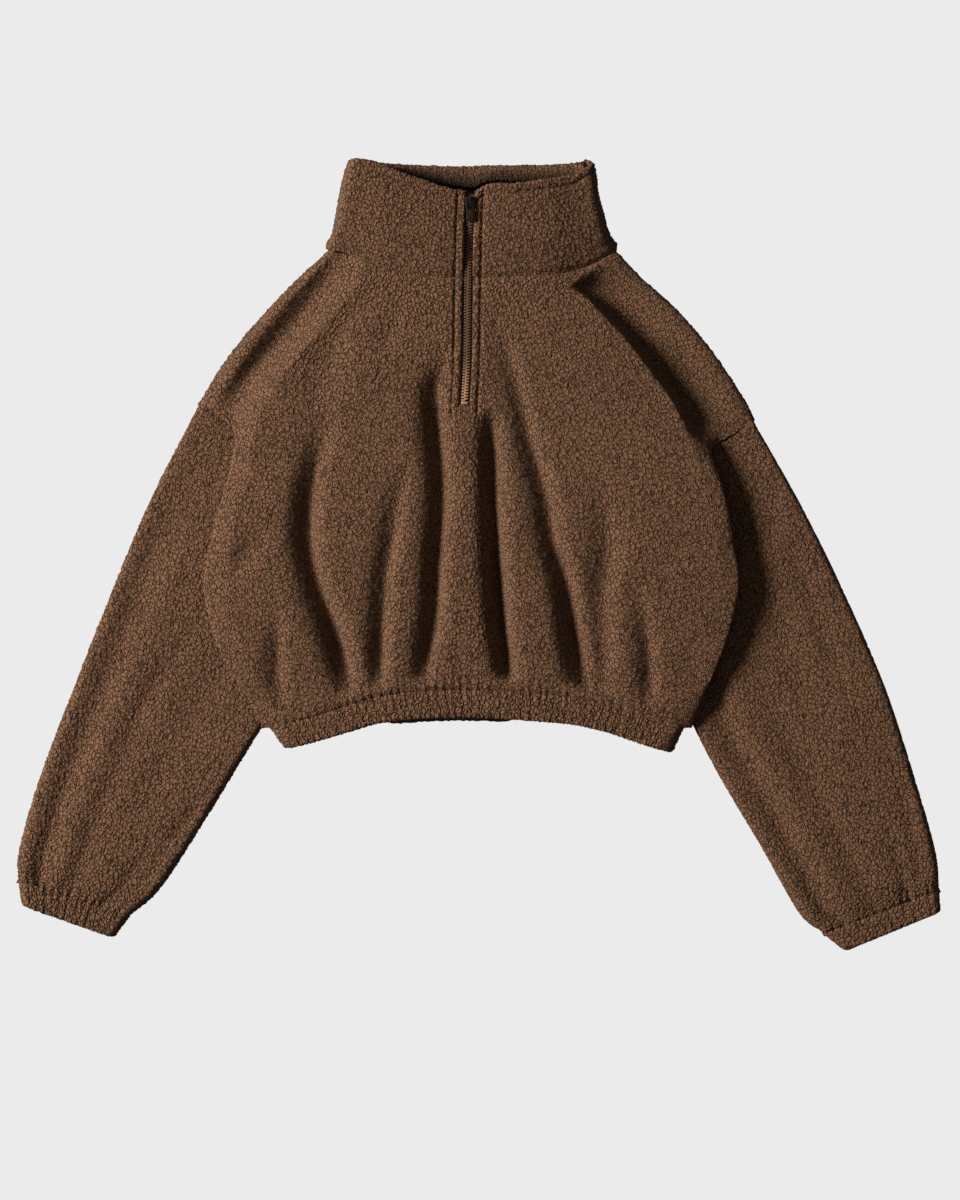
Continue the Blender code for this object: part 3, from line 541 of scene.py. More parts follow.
def flat_ring(width: float, height: float, inset: float,
              counts: tuple[int, int, int]) -> tuple[np.ndarray, np.ndarray, np.ndarray]:
    """Section of a flattened tube, from the top's outer end round and back.

    Args:
        width, height: outer size of the section.
        inset: how far inside the outer surface the section runs.
        counts: steps along the top, round each end and along the bottom.

    Returns:
        Distance across, height, and the share of being on top (1) or below (0).
    """
    top, end, bottom = counts
    radius = height / 2.0
    reach = radius - inset
    across_top = np.linspace(radius, width - radius, top + 1)
    across_bottom = np.linspace(width - radius, radius, bottom + 1)
    turn = np.linspace(0.0, math.pi, end + 1)[1:-1]
    swing = reach * np.sin(turn)
    across = np.concatenate((across_top, width - radius + swing,
                             across_bottom, radius - swing[::-1], across_top[:1]))
    end_z = radius + reach * np.cos(turn)
    z = np.concatenate((np.full(top + 1, height - inset), end_z,
                        np.full(bottom + 1, inset), end_z[::-1], [height - inset]))
    return across, z, np.clip((z - inset) / (height - 2.0 * inset), 0.0, 1.0)


# ---- meshes ----
BEVEL_PROFILE = 0.6


def skin(name: str, points: np.ndarray, pile: np.ndarray | None = None, ring: bool = False,
         gone: np.ndarray | None = None, shade: np.ndarray | None = None) -> bpy.types.Object:
    """Make a piece whose mesh is a grid laid on the given points.

    Args:
        name: the piece's name.
        points: rows by columns by 3, in millimetres.
        pile: rows by columns, the share of pile at each point; 1 if left out.
        ring: True where the last column lies on the first.
        gone: rows-1 by columns-1, True where the grid has no face.
        shade: rows by columns, painted shade: how light the pile is painted at each point; 1 if
            left out.

    Returns:
        The new object, at the origin.
    """
    rows, columns = points.shape[:2]
    bm = bmesh.new()
    bmesh.ops.create_grid(bm, x_segments=columns - 1, y_segments=rows - 1, size=0.5)
    if gone is not None:
        bm.faces.ensure_lookup_table()
        doomed = []
        for face in bm.faces:
            middle = face.calc_center_median()
            if gone[int((middle.y + 0.5) * (rows - 1)), int((middle.x + 0.5) * (columns - 1))]:
                doomed.append(face)
        bmesh.ops.delete(bm, geom=doomed, context="FACES")
    mesh = bpy.data.meshes.new(name)
    bm.to_mesh(mesh)
    bm.free()
    at = np.empty(len(mesh.vertices) * 3, np.float32)
    mesh.vertices.foreach_get("co", at)
    at = at.reshape(-1, 3)
    column = np.rint((at[:, 0] + 0.5) * (columns - 1)).astype(int)
    row = np.rint((at[:, 1] + 0.5) * (rows - 1)).astype(int)
    mesh.vertices.foreach_set("co", (points[row, column] * MM).astype(np.float32).ravel())
    for layer_name, values in (("pile", pile), ("shade", shade)):
        values = np.ones(points.shape[:2]) if values is None else values
        layer = mesh.attributes.new(layer_name, "FLOAT", "POINT")
        layer.data.foreach_set("value", values[row, column].astype(np.float32))
    if ring:
        bm = bmesh.new()
        bm.from_mesh(mesh)
        bmesh.ops.remove_doubles(bm, verts=bm.verts, dist=0.01 * MM)
        bm.to_mesh(mesh)
        bm.free()
    mesh.shade_smooth()
    mesh.update()
    return placed(name, mesh)


def top_share(top: np.ndarray) -> np.ndarray:
    """Share of a tube's relief at each point: all on its top, none on its underside."""
    return ease(top * 1.4 - 0.4)


def placed(name: str, data: bpy.types.ID) -> bpy.types.Object:
    """A new object in the scene, at the origin."""
    made = bpy.data.objects.new(name, data)
    bpy.context.scene.collection.objects.link(made)
    return made


def tucked_rows(points: np.ndarray, shift: float, drop: float) -> np.ndarray:
    """Add a first and a last row, turned down into the seam and past it.

    Args:
        points: rows by columns by 3.
        shift: how far the new rows go beyond the seam.
        drop: how far below the old rows they lie.

    Returns:
        The points with the two rows added.
    """
    first, last = points[:1].copy(), points[-1:].copy()
    first += (0.0, shift, -drop)
    last += (0.0, -shift, -drop)
    return np.concatenate((first, points, last))


def edge_rows(values: np.ndarray) -> np.ndarray:
    """Repeat the first and the last row, to go with tucked_rows."""
    return np.concatenate((values[:1], values, values[-1:]))


def box_form(size: tuple[float, float, float], bevel: float) -> bmesh.types.BMesh:
    """A bevelled box about the origin.

    Args:
        size: along x, y and z, in millimetres.
        bevel: width of its bevels.

    Returns:
        The box as a bmesh.
    """
    bm = bmesh.new()
    bmesh.ops.create_cube(bm, size=1.0)
    bmesh.ops.scale(bm, vec=size, verts=bm.verts)
    bmesh.ops.bevel(bm, geom=bm.edges[:], offset=bevel, segments=2, profile=BEVEL_PROFILE,
                     affect="EDGES")
    return bm


def plate_form(outline: Sequence[tuple[float, float]], low: float, high: float,
               bevel: float) -> bmesh.types.BMesh:
    """A bevelled plate.

    Args:
        outline: its (x, y) points in turn.
        low, high: heights of its two faces.
        bevel: width of the bevel round both faces.

    Returns:
        The plate as a bmesh.
    """
    bm = bmesh.new()
    face = bm.faces.new([bm.verts.new((x, y, low)) for x, y in outline])
    lifted = bmesh.ops.extrude_face_region(bm, geom=[face])["geom"]
    verts = [item for item in lifted if isinstance(item, bmesh.types.BMVert)]
    bmesh.ops.translate(bm, vec=(0.0, 0.0, high - low), verts=verts)
    bmesh.ops.recalc_face_normals(bm, faces=bm.faces)
    flat_ends = [edge for edge in bm.edges if abs(edge.verts[0].co.z - edge.verts[1].co.z) < 0.01]
    bmesh.ops.bevel(bm, geom=flat_ends, offset=bevel, segments=2, profile=BEVEL_PROFILE,
                     affect="EDGES")
    return bm


def joined(name: str,
           forms: Sequence[tuple[bmesh.types.BMesh, Sequence[Matrix]]]) -> bpy.types.Object:
    """One piece from many placed forms.

    Args:
        name: the piece's name.
        forms: (bmesh, places) pairs in millimetres; each bmesh is freed, and its form
            stands at every place, a matrix.

    Returns:
        The new object, at the origin.
    """
    whole = bmesh.new()
    for form, places in forms:
        single = bpy.data.meshes.new(name + "_form")
        form.to_mesh(single)
        form.free()
        for place in places:
            start = len(whole.verts)
            whole.from_mesh(single)
            whole.verts.ensure_lookup_table()
            bmesh.ops.transform(whole, matrix=place, verts=whole.verts[start:])
        bpy.data.meshes.remove(single)
    bmesh.ops.scale(whole, vec=(MM, MM, MM), verts=whole.verts)
    mesh = bpy.data.meshes.new(name)
    whole.to_mesh(mesh)
    whole.free()
    mesh.shade_smooth()
    mesh.set_sharp_from_angle(angle=math.radians(40))
    return placed(name, mesh)


def zip_place(y: float, aside: float = 0.0, rise: float = 0.0) -> Matrix:
    """Place that follows the zip's line and slope.

    Args:
        y: how far up the zip.
        aside, rise: offsets across the zip and off the cloth.

    Returns:
        The place's matrix, in millimetres.
    """
    ahead, behind = y + 1.0, y - 1.0
    if behind < NECK_ZIP_Y < ahead:
        ahead, behind = y, y
    pitch = math.atan2(float(zip_level(ahead) - zip_level(behind)), 2.0)
    yaw = math.atan2(float(zip_x(behind) - zip_x(ahead)), 2.0)
    middle = (float(zip_x(y)), y, float(zip_level(y)))
    return (Matrix.Translation(middle) @ Matrix.Rotation(yaw, 4, "Z")
            @ Matrix.Rotation(pitch, 4, "X") @ Matrix.Translation((aside, 0.0, rise)))


# ---- node helpers ----
def wire(tree: bpy.types.NodeTree,
         pairs: Sequence[tuple[bpy.types.NodeSocket, bpy.types.NodeSocket]]) -> None:
    """Join sockets of a node tree, each pair (from, to)."""
    for start, end in pairs:
        tree.links.new(start, end)


def node(tree: bpy.types.NodeTree, kind: str, **settings: object) -> bpy.types.Node:
    """Add a node with its settings.

    Args:
        tree: the node tree.
        kind: the node's type name.
        settings: attributes of the node.

    Returns:
        The node.
    """
    made = tree.nodes.new(kind)
    for key, value in settings.items():
        setattr(made, key, value)
    return made


def set_inputs(made: bpy.types.Node, **values: object) -> bpy.types.Node:
    """Set constant inputs of a node.

    Args:
        made: the node.
        values: the inputs by name, with _ for a space.

    Returns:
        The same node.
    """
    for key, value in values.items():
        made.inputs[key.replace("_", " ")].default_value = value
    return made


def maths(tree: bpy.types.NodeTree, operation: str, first: bpy.types.NodeSocket | float,
          second: bpy.types.NodeSocket | float, clamp: bool = False) -> bpy.types.NodeSocket:
    """Add a Math node.

    Args:
        tree: the node tree.
        operation: the node's operation.
        first, second: a socket or a number each.
        clamp: True to keep the result between 0 and 1.

    Returns:
        The result's socket.
    """
    made = node(tree, "ShaderNodeMath", operation=operation, use_clamp=clamp)
    for index, operand in enumerate((first, second)):
        if isinstance(operand, (int, float)):
            made.inputs[index].default_value = operand
        else:
            tree.links.new(operand, made.inputs[index])
    return made.outputs[0]


def sockets(tree: bpy.types.NodeTree, *wanted: tuple[str, str, str]) -> None:
    """Give a node group its sockets, each as (name, INPUT or OUTPUT, kind)."""
    for name, in_out, kind in wanted:
        tree.interface.new_socket(name, in_out=in_out, socket_type="NodeSocket" + kind)


def two_colours(tree: bpy.types.NodeTree, low: tuple, high: tuple,
                ends: tuple[float, float] = (0.0, 1.0)) -> bpy.types.Node:
    """Add a colour ramp.

    Args:
        tree: the node tree.
        low, high: its two colours (linear).
        ends: positions of the colours.

    Returns:
        The ramp's node.
    """
    made = node(tree, "ShaderNodeValToRGB")
    for stop, colour, position in zip(made.color_ramp.elements, (low, high), ends):
        stop.position = position
        stop.color = (*colour, 1.0)
    return made


def nub_height(tree: bpy.types.NodeTree, at: bpy.types.NodeSocket) -> bpy.types.NodeSocket:
    """Build the nodes for the pile's height, 0 in the hollows and 1 on the tips.

    The same nodes shape the mesh and shade it, so both show the same nubs.

    Args:
        tree: a geometry or a shader node tree.
        at: socket with the plain position.

    Returns:
        The height's socket.
    """
    per_nub = 1.0 / (PILE.nub * MM)
    scaled = node(tree, "ShaderNodeVectorMath", operation="MULTIPLY")
    scaled.inputs[1].default_value = (per_nub, per_nub / PILE.stretch, per_nub)
    tree.links.new(at, scaled.inputs[0])
    curl = set_inputs(node(tree, "ShaderNodeTexNoise"), Scale=0.8, Detail=1.0)
    shifted = node(tree, "ShaderNodeVectorMath", operation="MULTIPLY_ADD")
    shifted.inputs[1].default_value = (1.3, 1.3, 1.3)
    cells = node(tree, "ShaderNodeTexVoronoi", feature="DISTANCE_TO_EDGE")
    set_inputs(cells, Scale=1.0, Randomness=1.0)
    strands = set_inputs(node(tree, "ShaderNodeTexNoise"), Scale=1.9, Detail=2.0)
    wire(tree, (
        (scaled.outputs[0], curl.inputs["Vector"]),
        (curl.outputs["Color"], shifted.inputs[0]),
        (scaled.outputs[0], shifted.inputs[2]),
        (shifted.outputs[0], cells.inputs["Vector"]),
        (scaled.outputs[0], strands.inputs["Vector"]),
    ))
    to_tip = maths(tree, "SUBTRACT", 1.0,
                   maths(tree, "MULTIPLY", cells.outputs["Distance"], 6.2), clamp=True)
    rounded = maths(tree, "SUBTRACT", 1.0, maths(tree, "MULTIPLY", to_tip, to_tip))
    fine_part = maths(tree, "MULTIPLY", maths(tree, "SUBTRACT", strands.outputs[0], 0.5), 0.32)
    return maths(tree, "ADD", maths(tree, "MULTIPLY", rounded, 0.85), fine_part, clamp=True)


def pile_growth() -> bpy.types.NodeTree:
    """Geometry nodes that sink the hollows between nubs into a skin."""
    tree = bpy.data.node_groups.new("pile_growth", "GeometryNodeTree")
    sockets(tree, ("Geometry", "INPUT", "Geometry"), ("Geometry", "OUTPUT", "Geometry"))
    start = node(tree, "NodeGroupInput")
    end = node(tree, "NodeGroupOutput")
    at = node(tree, "GeometryNodeInputPosition")
    keep = node(tree, "GeometryNodeStoreNamedAttribute", data_type="FLOAT_VECTOR", domain="POINT")
    keep.inputs["Name"].default_value = "pile_at"
    share = node(tree, "GeometryNodeInputNamedAttribute", data_type="FLOAT")
    share.inputs["Name"].default_value = "pile"
    normal = node(tree, "GeometryNodeInputNormal")
    sink = node(tree, "ShaderNodeVectorMath", operation="SCALE")
    move = node(tree, "GeometryNodeSetPosition")
    height = nub_height(tree, at.outputs[0])
    hollow = maths(tree, "SUBTRACT", height, 1.0)
    deep = maths(tree, "MULTIPLY", maths(tree, "MULTIPLY", hollow, share.outputs["Attribute"]),
                 PILE.depth * MM)
    wire(tree, (
        (start.outputs["Geometry"], keep.inputs["Geometry"]),
        (at.outputs[0], keep.inputs["Value"]),
        (keep.outputs["Geometry"], move.inputs["Geometry"]),
        (normal.outputs[0], sink.inputs[0]),
        (deep, sink.inputs["Scale"]),
        (sink.outputs[0], move.inputs["Offset"]),
        (move.outputs["Geometry"], end.inputs["Geometry"]),
    ))
    return tree


def grow_pile(piece: bpy.types.Object, group: bpy.types.NodeTree) -> None:
    """Shape a skin's pile and keep the result as its mesh.

    Args:
        piece: the skin.
        group: the geometry nodes that pile_growth makes.
    """
    piece.modifiers.new("pile", "NODES").node_group = group
    graph = bpy.context.evaluated_depsgraph_get()
    grown = bpy.data.meshes.new_from_object(piece.evaluated_get(graph),
                                            preserve_all_data_layers=True, depsgraph=graph)
    piece.modifiers.clear()
    plain = piece.data
    piece.data = grown
    bpy.data.meshes.remove(plain)


# ---- materials ----
class Materials:
    """The materials, each made once."""

    def __init__(self) -> None:
        """Make them all."""
        self.fleece = self._fleece()
        self.tape = self._woven("woven_tape", TAPE, 0.75)
        self.thread = self._woven("thread", THREAD, 0.35)
        self.teeth = self._teeth()
        self.metal = self._metal()

    @staticmethod
    def _plain(name: str, finish: Finish) -> tuple[bpy.types.Material, bpy.types.NodeTree,
                                                  bpy.types.Node]:
        """Make a Principled material with constant values.

        Args:
            name: the material's name.
            finish: its values.

        Returns:
            The material, its tree and its shader.
        """
        made = bpy.data.materials.new(name)
        made.use_nodes = True
        tree = made.node_tree
        shader = tree.nodes["Principled BSDF"]
        set_inputs(shader, Base_Color=(*finish.colour, 1.0), Roughness=finish.roughness,
                   Metallic=finish.metallic)
        return made, tree, shader

    def _woven(self, name: str, finish: Finish, thread_mm: float) -> bpy.types.Material:
        """Threads that cross: a bump from two waves, and a little colour change.

        Args:
            name: the material's name.
            finish: its plain values.
            thread_mm: distance from thread to thread.

        Returns:
            The material.
        """
        made, tree, shader = self._plain(name, finish)
        place = node(tree, "ShaderNodeTexCoord")
        heights = []
        for direction in ("X", "Y"):
            wave = set_inputs(node(tree, "ShaderNodeTexWave", bands_direction=direction),
                              Scale=0.314 / (thread_mm * MM), Distortion=0.6, Detail=1.0)
            tree.links.new(place.outputs["Object"], wave.inputs["Vector"])
            heights.append(wave.outputs["Fac"])
        crossed = maths(tree, "MAXIMUM", *heights)
        bump = set_inputs(node(tree, "ShaderNodeBump"), Strength=0.7,
                          Distance=0.25 * thread_mm * MM)
        ramp = two_colours(tree, tuple(0.55 * c for c in finish.colour),
                           tuple(1.25 * c for c in finish.colour))
        wire(tree, ((crossed, bump.inputs["Height"]), (bump.outputs[0], shader.inputs["Normal"]),
                    (crossed, ramp.inputs["Fac"]),
                    (ramp.outputs["Color"], shader.inputs["Base Color"])))
        return made

    def _teeth(self) -> bpy.types.Material:
        """Brown metallic teeth, with a painted coppery highlight at the zip's lower end, where the
        teeth catch the light.
        """
        made, tree, shader = self._plain("teeth", TEETH)
        place = node(tree, "ShaderNodeTexCoord")
        apart = node(tree, "ShaderNodeSeparateXYZ")
        # Painted highlight: the colour turns to bright copper toward the zip's lower end, where the
        # teeth catch the light.
        low = node(tree, "ShaderNodeMapRange", interpolation_type="SMOOTHSTEP")
        set_inputs(low, From_Min=0.212, From_Max=0.165)
        highlight_mix = node(tree, "ShaderNodeMix", data_type="RGBA")
        set_inputs(highlight_mix, A=(*TEETH.colour, 1.0), B=(*PAINTED_TEETH_HIGHLIGHT, 1.0))
        worn = set_inputs(node(tree, "ShaderNodeTexNoise"), Scale=700.0, Detail=2.0)
        rough = set_inputs(node(tree, "ShaderNodeMapRange"), To_Min=0.25, To_Max=0.5)
        wire(tree, ((place.outputs["Object"], apart.inputs[0]),
                    (place.outputs["Object"], worn.inputs["Vector"]),
                    (apart.outputs["Y"], low.inputs["Value"]),
                    (low.outputs["Result"], highlight_mix.inputs["Factor"]),
                    (highlight_mix.outputs["Result"], shader.inputs["Base Color"]),
                    (worn.outputs[0], rough.inputs["Value"]),
                    (rough.outputs["Result"], shader.inputs["Roughness"])))
        return made

    def _metal(self) -> bpy.types.Material:
        """Dark brown enamel, a little uneven and rubbed."""
        made, tree, shader = self._plain("metal", METAL)
        place = node(tree, "ShaderNodeTexCoord")
        rubbed = set_inputs(node(tree, "ShaderNodeTexNoise"), Scale=420.0, Detail=3.0)
        ramp = two_colours(tree, METAL.colour, tuple(1.9 * c for c in METAL.colour), (0.42, 0.72))
        rough = set_inputs(node(tree, "ShaderNodeMapRange"), To_Min=0.26, To_Max=0.46)
        wire(tree, ((place.outputs["Object"], rubbed.inputs["Vector"]),
                    (rubbed.outputs[0], ramp.inputs["Fac"]),
                    (ramp.outputs["Color"], shader.inputs["Base Color"]),
                    (rubbed.outputs[0], rough.inputs["Value"]),
                    (rough.outputs["Result"], shader.inputs["Roughness"])))
        return made

    @staticmethod
    def _pile_look() -> bpy.types.NodeTree:
        """Shader group: the pile's colour share (tips light, hollows painted dark as shade, with a
        random fibre tone), fine noise and normal, from its position.
        """
        tree = bpy.data.node_groups.new("pile_look", "ShaderNodeTree")
        sockets(tree, ("Position", "INPUT", "Vector"), ("Share", "INPUT", "Float"),
                ("Tip", "OUTPUT", "Float"), ("Cloud", "OUTPUT", "Float"),
                ("Normal", "OUTPUT", "Vector"))
        start = node(tree, "NodeGroupInput")
        end = node(tree, "NodeGroupOutput")
        height = nub_height(tree, start.outputs["Position"])
        fibre = set_inputs(node(tree, "ShaderNodeTexNoise"), Scale=900.0, Detail=3.0, Roughness=0.6)
        cloud = set_inputs(node(tree, "ShaderNodeTexNoise"), Scale=30.0, Detail=2.0)
        relief = maths(tree, "ADD", height, maths(tree, "MULTIPLY", fibre.outputs[0], 0.35))
        bump = set_inputs(node(tree, "ShaderNodeBump"), Distance=2.0 * PILE.depth * MM)
        wire(tree, (
            (start.outputs["Position"], fibre.inputs["Vector"]),
            (start.outputs["Position"], cloud.inputs["Vector"]),
            (relief, bump.inputs["Height"]),
            (start.outputs["Share"], bump.inputs["Strength"]),
            # Tip: the nubs' height with a random fibre tone; its low values become painted shade in
            # the hollows.
            (maths(tree, "ADD", maths(tree, "MULTIPLY", height, 0.75),
                   maths(tree, "MULTIPLY", fibre.outputs[0], 0.5)), end.inputs["Tip"]),
            (cloud.outputs[0], end.inputs["Cloud"]),
            (bump.outputs["Normal"], end.inputs["Normal"]),
        ))
        return tree

    def _fleece(self) -> bpy.types.Material:
        """Brown sherpa: lighter tips, hollows painted dark as shade, a soft sheen."""
        made = bpy.data.materials.new("fleece")
        made.use_nodes = True
        tree = made.node_tree
        shader = tree.nodes["Principled BSDF"]
        set_inputs(shader, Roughness=0.95, Sheen_Weight=0.12, Sheen_Roughness=0.5,
                   Specular_IOR_Level=0.2, Sheen_Tint=(0.62, 0.42, 0.30, 1.0))
        place = node(tree, "ShaderNodeAttribute", attribute_name="pile_at")
        share = node(tree, "ShaderNodeAttribute", attribute_name="pile")
        look = node(tree, "ShaderNodeGroup", node_tree=self._pile_look())
        # This ramp paints the hollows between nubs dark, as shade, and the tips light.
        ramp = two_colours(tree, PILE_HOLLOW_PAINTED_SHADE, PILE_TIP, (0.15, 0.74))
        colour_and_painted_shade = node(tree, "ShaderNodeMix", data_type="RGBA", blend_type="MULTIPLY")
        colour_and_painted_shade.inputs["Factor"].default_value = 1.0
        # A random cloud tone of the pile, multiplied below by the painted shade that the skin's
        # shade attribute carries, dark on the collar's inside.
        shade = set_inputs(node(tree, "ShaderNodeMapRange"), From_Min=0.3, From_Max=0.7,
                           To_Min=0.93, To_Max=1.06)
        # The painted shade that the skin carries: dark on the collar's inside.
        depth = node(tree, "ShaderNodeAttribute", attribute_name="shade")
        cloud_tone_and_painted_shade = maths(tree, "MULTIPLY", shade.outputs["Result"], depth.outputs["Fac"])
        wire(tree, (
            (place.outputs["Vector"], look.inputs["Position"]),
            (share.outputs["Fac"], look.inputs["Share"]),
            (look.outputs["Tip"], ramp.inputs["Fac"]),
            (look.outputs["Cloud"], shade.inputs["Value"]),
            (ramp.outputs["Color"], colour_and_painted_shade.inputs["A"]),
            (cloud_tone_and_painted_shade, colour_and_painted_shade.inputs["B"]),
            (colour_and_painted_shade.outputs["Result"], shader.inputs["Base Color"]),
            (look.outputs["Normal"], shader.inputs["Normal"]),
        ))
        return made


# ---- the sewn pieces ----
@dataclass(frozen=True)
class Band:
    """A gathered band: its gathers, their depth and slack, and its seam groove.

    Args:
        gathers: how many there are across the band.
        depth: of the gathers at the band's edges.
        slack: how much shallower they are in its middle.
        long: from its seam to its foot.
        groove: depth of the groove at its seam.
    """

    gathers: int
    depth: float
    slack: float
    long: float
    groove: float

    def relief(self, share: np.ndarray, share_down: float) -> np.ndarray:
        """Gathers and groove at one row of the band."""
        depth = self.depth - self.slack * math.sin(math.pi * share_down)
        groove = self.groove * math.exp(-((share_down * self.long / SEAM_HALF) ** 2))
        return gathers(self.gathers, depth, share) - groove


@dataclass
class Garment:
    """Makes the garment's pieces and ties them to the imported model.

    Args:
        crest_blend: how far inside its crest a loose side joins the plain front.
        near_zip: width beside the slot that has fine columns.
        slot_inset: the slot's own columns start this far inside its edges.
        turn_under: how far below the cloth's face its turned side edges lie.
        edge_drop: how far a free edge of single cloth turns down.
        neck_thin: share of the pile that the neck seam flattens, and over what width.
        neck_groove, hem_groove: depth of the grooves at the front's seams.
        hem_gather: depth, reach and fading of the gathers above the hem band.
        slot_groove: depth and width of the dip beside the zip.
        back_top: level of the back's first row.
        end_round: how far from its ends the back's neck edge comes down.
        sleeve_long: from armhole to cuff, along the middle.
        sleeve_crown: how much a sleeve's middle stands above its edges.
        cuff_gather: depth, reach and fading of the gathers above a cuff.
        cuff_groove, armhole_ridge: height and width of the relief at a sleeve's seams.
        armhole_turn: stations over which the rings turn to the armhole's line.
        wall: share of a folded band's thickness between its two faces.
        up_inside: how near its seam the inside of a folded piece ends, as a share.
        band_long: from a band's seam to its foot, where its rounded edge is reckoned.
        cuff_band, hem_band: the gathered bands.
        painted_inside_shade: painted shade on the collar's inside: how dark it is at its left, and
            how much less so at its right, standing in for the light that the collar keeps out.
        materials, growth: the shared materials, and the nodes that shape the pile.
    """

    crest_blend: float = 26.0
    near_zip: float = 15.0
    slot_inset: float = 0.4
    turn_under: float = 1.0
    edge_drop: float = CLOTH - 0.5
    neck_thin: tuple = (0.5, 2.0)
    neck_groove: float = 2.2
    hem_groove: float = 1.4
    hem_gather: tuple = (1.5, 34.0, 1.6)
    slot_groove: tuple = (0.8, 1.2)
    back_top: float = 308.0
    end_round: float = 30.0
    sleeve_long: float = 520.0
    sleeve_crown: float = 2.0
    cuff_gather: tuple = (2.4, 42.0, 1.5)
    cuff_groove: tuple = (1.0, 3.5)
    armhole_ridge: tuple = (0.8, 5.0)
    armhole_turn: float = 1.6
    wall: float = 0.85
    up_inside: float = 0.1
    band_long: float = 27.0
    cuff_band: Band = Band(CUFF_GATHERS, 1.7, 0.8, 27.0, 1.0)
    hem_band: Band = Band(BAND_GATHERS, 1.5, 0.8, 30.0, 1.2)
    painted_inside_shade: tuple = (0.99, 0.16)
    materials: Materials = field(default_factory=Materials)
    growth: bpy.types.NodeTree = field(default_factory=pile_growth)

    def _finish(self, piece: bpy.types.Object, replaced: list[str], flat: tuple[float, float],
                area: float, rests_on: list[str]) -> bpy.types.Object:
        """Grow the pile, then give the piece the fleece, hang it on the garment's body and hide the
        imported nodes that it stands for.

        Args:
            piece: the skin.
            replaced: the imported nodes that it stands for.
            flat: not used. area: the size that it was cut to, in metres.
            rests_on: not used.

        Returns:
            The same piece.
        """
        grow_pile(piece, self.growth)
        piece.data.materials.clear()
        piece.data.materials.append(self.materials.fleece)
        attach(piece, "garment")
        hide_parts(*replaced)
        measured = sum(polygon.area for polygon in piece.data.polygons)
        log.info("%s: %d faces, area %.4f, flat %.4f", piece.name, len(piece.data.polygons),
                 measured, area)
        return piece

    def front(self) -> bpy.types.Object:
        """The front, with a slot for the zip and loose sides that turn under."""
        plan = SKINS
        levels = np.linspace(NECK_LEVEL, HEM_LEVEL, plan.front_rows)
        under, roll, rise = plan.front_side
        marks = np.concatenate((np.linspace(0, 1, under + 1), np.linspace(1, 2, roll + 1)[1:],
                                np.linspace(2, 3, rise + 1)[1:]))
        side_share = ease(marks - 2.0)
        rows = []
        for level in levels:
            middle = float(zip_x(np.maximum(row_y(zip_x(level), level), ZIP_END_Y)))
            sections = []
            for rim, inside in ((LEFT_RIM, 1.0), (RIGHT_RIM, -1.0)):
                crest = float(rim_value(rim, "crest_x", level))
                beyond = crest + inside * self.crest_blend
                xs = [float(rim_value(rim, c, level)) for c in ("seam_x", "under_x", "edge_x")]
                zs = [float(rim_value(rim, c, level)) for c in ("seam_z", "under_z", "edge_z")]
                for x in (crest, beyond):
                    xs.append(x)
                    zs.append(float(plain_front_height(x, row_y(x, level))))
                sections.append((smooth(marks, range(5), xs), smooth(marks, range(5), zs)))
            (left_x, left_z), (right_x, right_z) = sections
            near = np.linspace(0.0, self.near_zip, plan.near_zip + 1)
            slot_left, slot_right = middle - SLOT_HALF, middle + SLOT_HALF
            left_half = np.linspace(left_x[-1], slot_left - self.near_zip, plan.front_half + 1)[1:]
            right_half = np.linspace(slot_right + self.near_zip, right_x[-1],
                                     plan.front_half + 1)[:-1]
            slot = np.linspace(slot_left + self.slot_inset, slot_right - self.slot_inset,
                               SLOT_COLUMNS + 1)
            x = np.concatenate((left_x, left_half, slot_left - self.near_zip + near[1:], slot,
                                slot_right + near[:-1], right_half, right_x[::-1]))
            y = row_y(x, level)
            z = plain_front_height(x, y)
            z[:len(marks)] = left_z
            z[-len(marks):] = right_z[::-1]
            weight = np.ones(len(x))
            weight[:len(marks)] = side_share
            weight[-len(marks):] = side_share[::-1]
            z = z + weight * self._front_detail(x, y, middle)
            rows.append(np.stack((x, y, z), axis=1))
        points = np.array(rows)
        for side, edge in ((1.0, 0), (-1.0, -1)):
            turned = points[:, [edge]].copy()
            turned[..., 0] += side * SEAM_TUCK
            turned[..., 2] = CLOTH - self.turn_under
            parts = (turned, points) if edge == 0 else (points, turned)
            points = np.concatenate(parts, axis=1)
        slot_column = len(marks) + plan.front_half + plan.near_zip + 1
        in_slot = points[:, slot_column, 1] > ZIP_END_Y
        for column in (slot_column, slot_column + SLOT_COLUMNS):
            points[in_slot, column, 2] -= self.edge_drop
        pile = np.ones(points.shape[:2])
        flattened, width = self.neck_thin
        pile -= flattened * dip(along(NECK_FRONT, points[..., 0]) - points[..., 1], width)
        gone = np.zeros((len(levels) + 1, points.shape[1] - 1), bool)
        cut = slice(slot_column, slot_column + SLOT_COLUMNS)
        gone[1:-1, cut] = (in_slot[:-1] & in_slot[1:])[:, None]
        gone[0, cut] = True
        points = tucked_rows(points, SEAM_TUCK, self.edge_drop)
        pile = edge_rows(pile)
        piece = skin("front_skin", points, pile, gone=gone)
        return self._finish(piece, ["front"], (0.64, 0.53), 0.30, ["back_skin", "sleeve_left_skin",
                                                                  "sleeve_right_skin"])

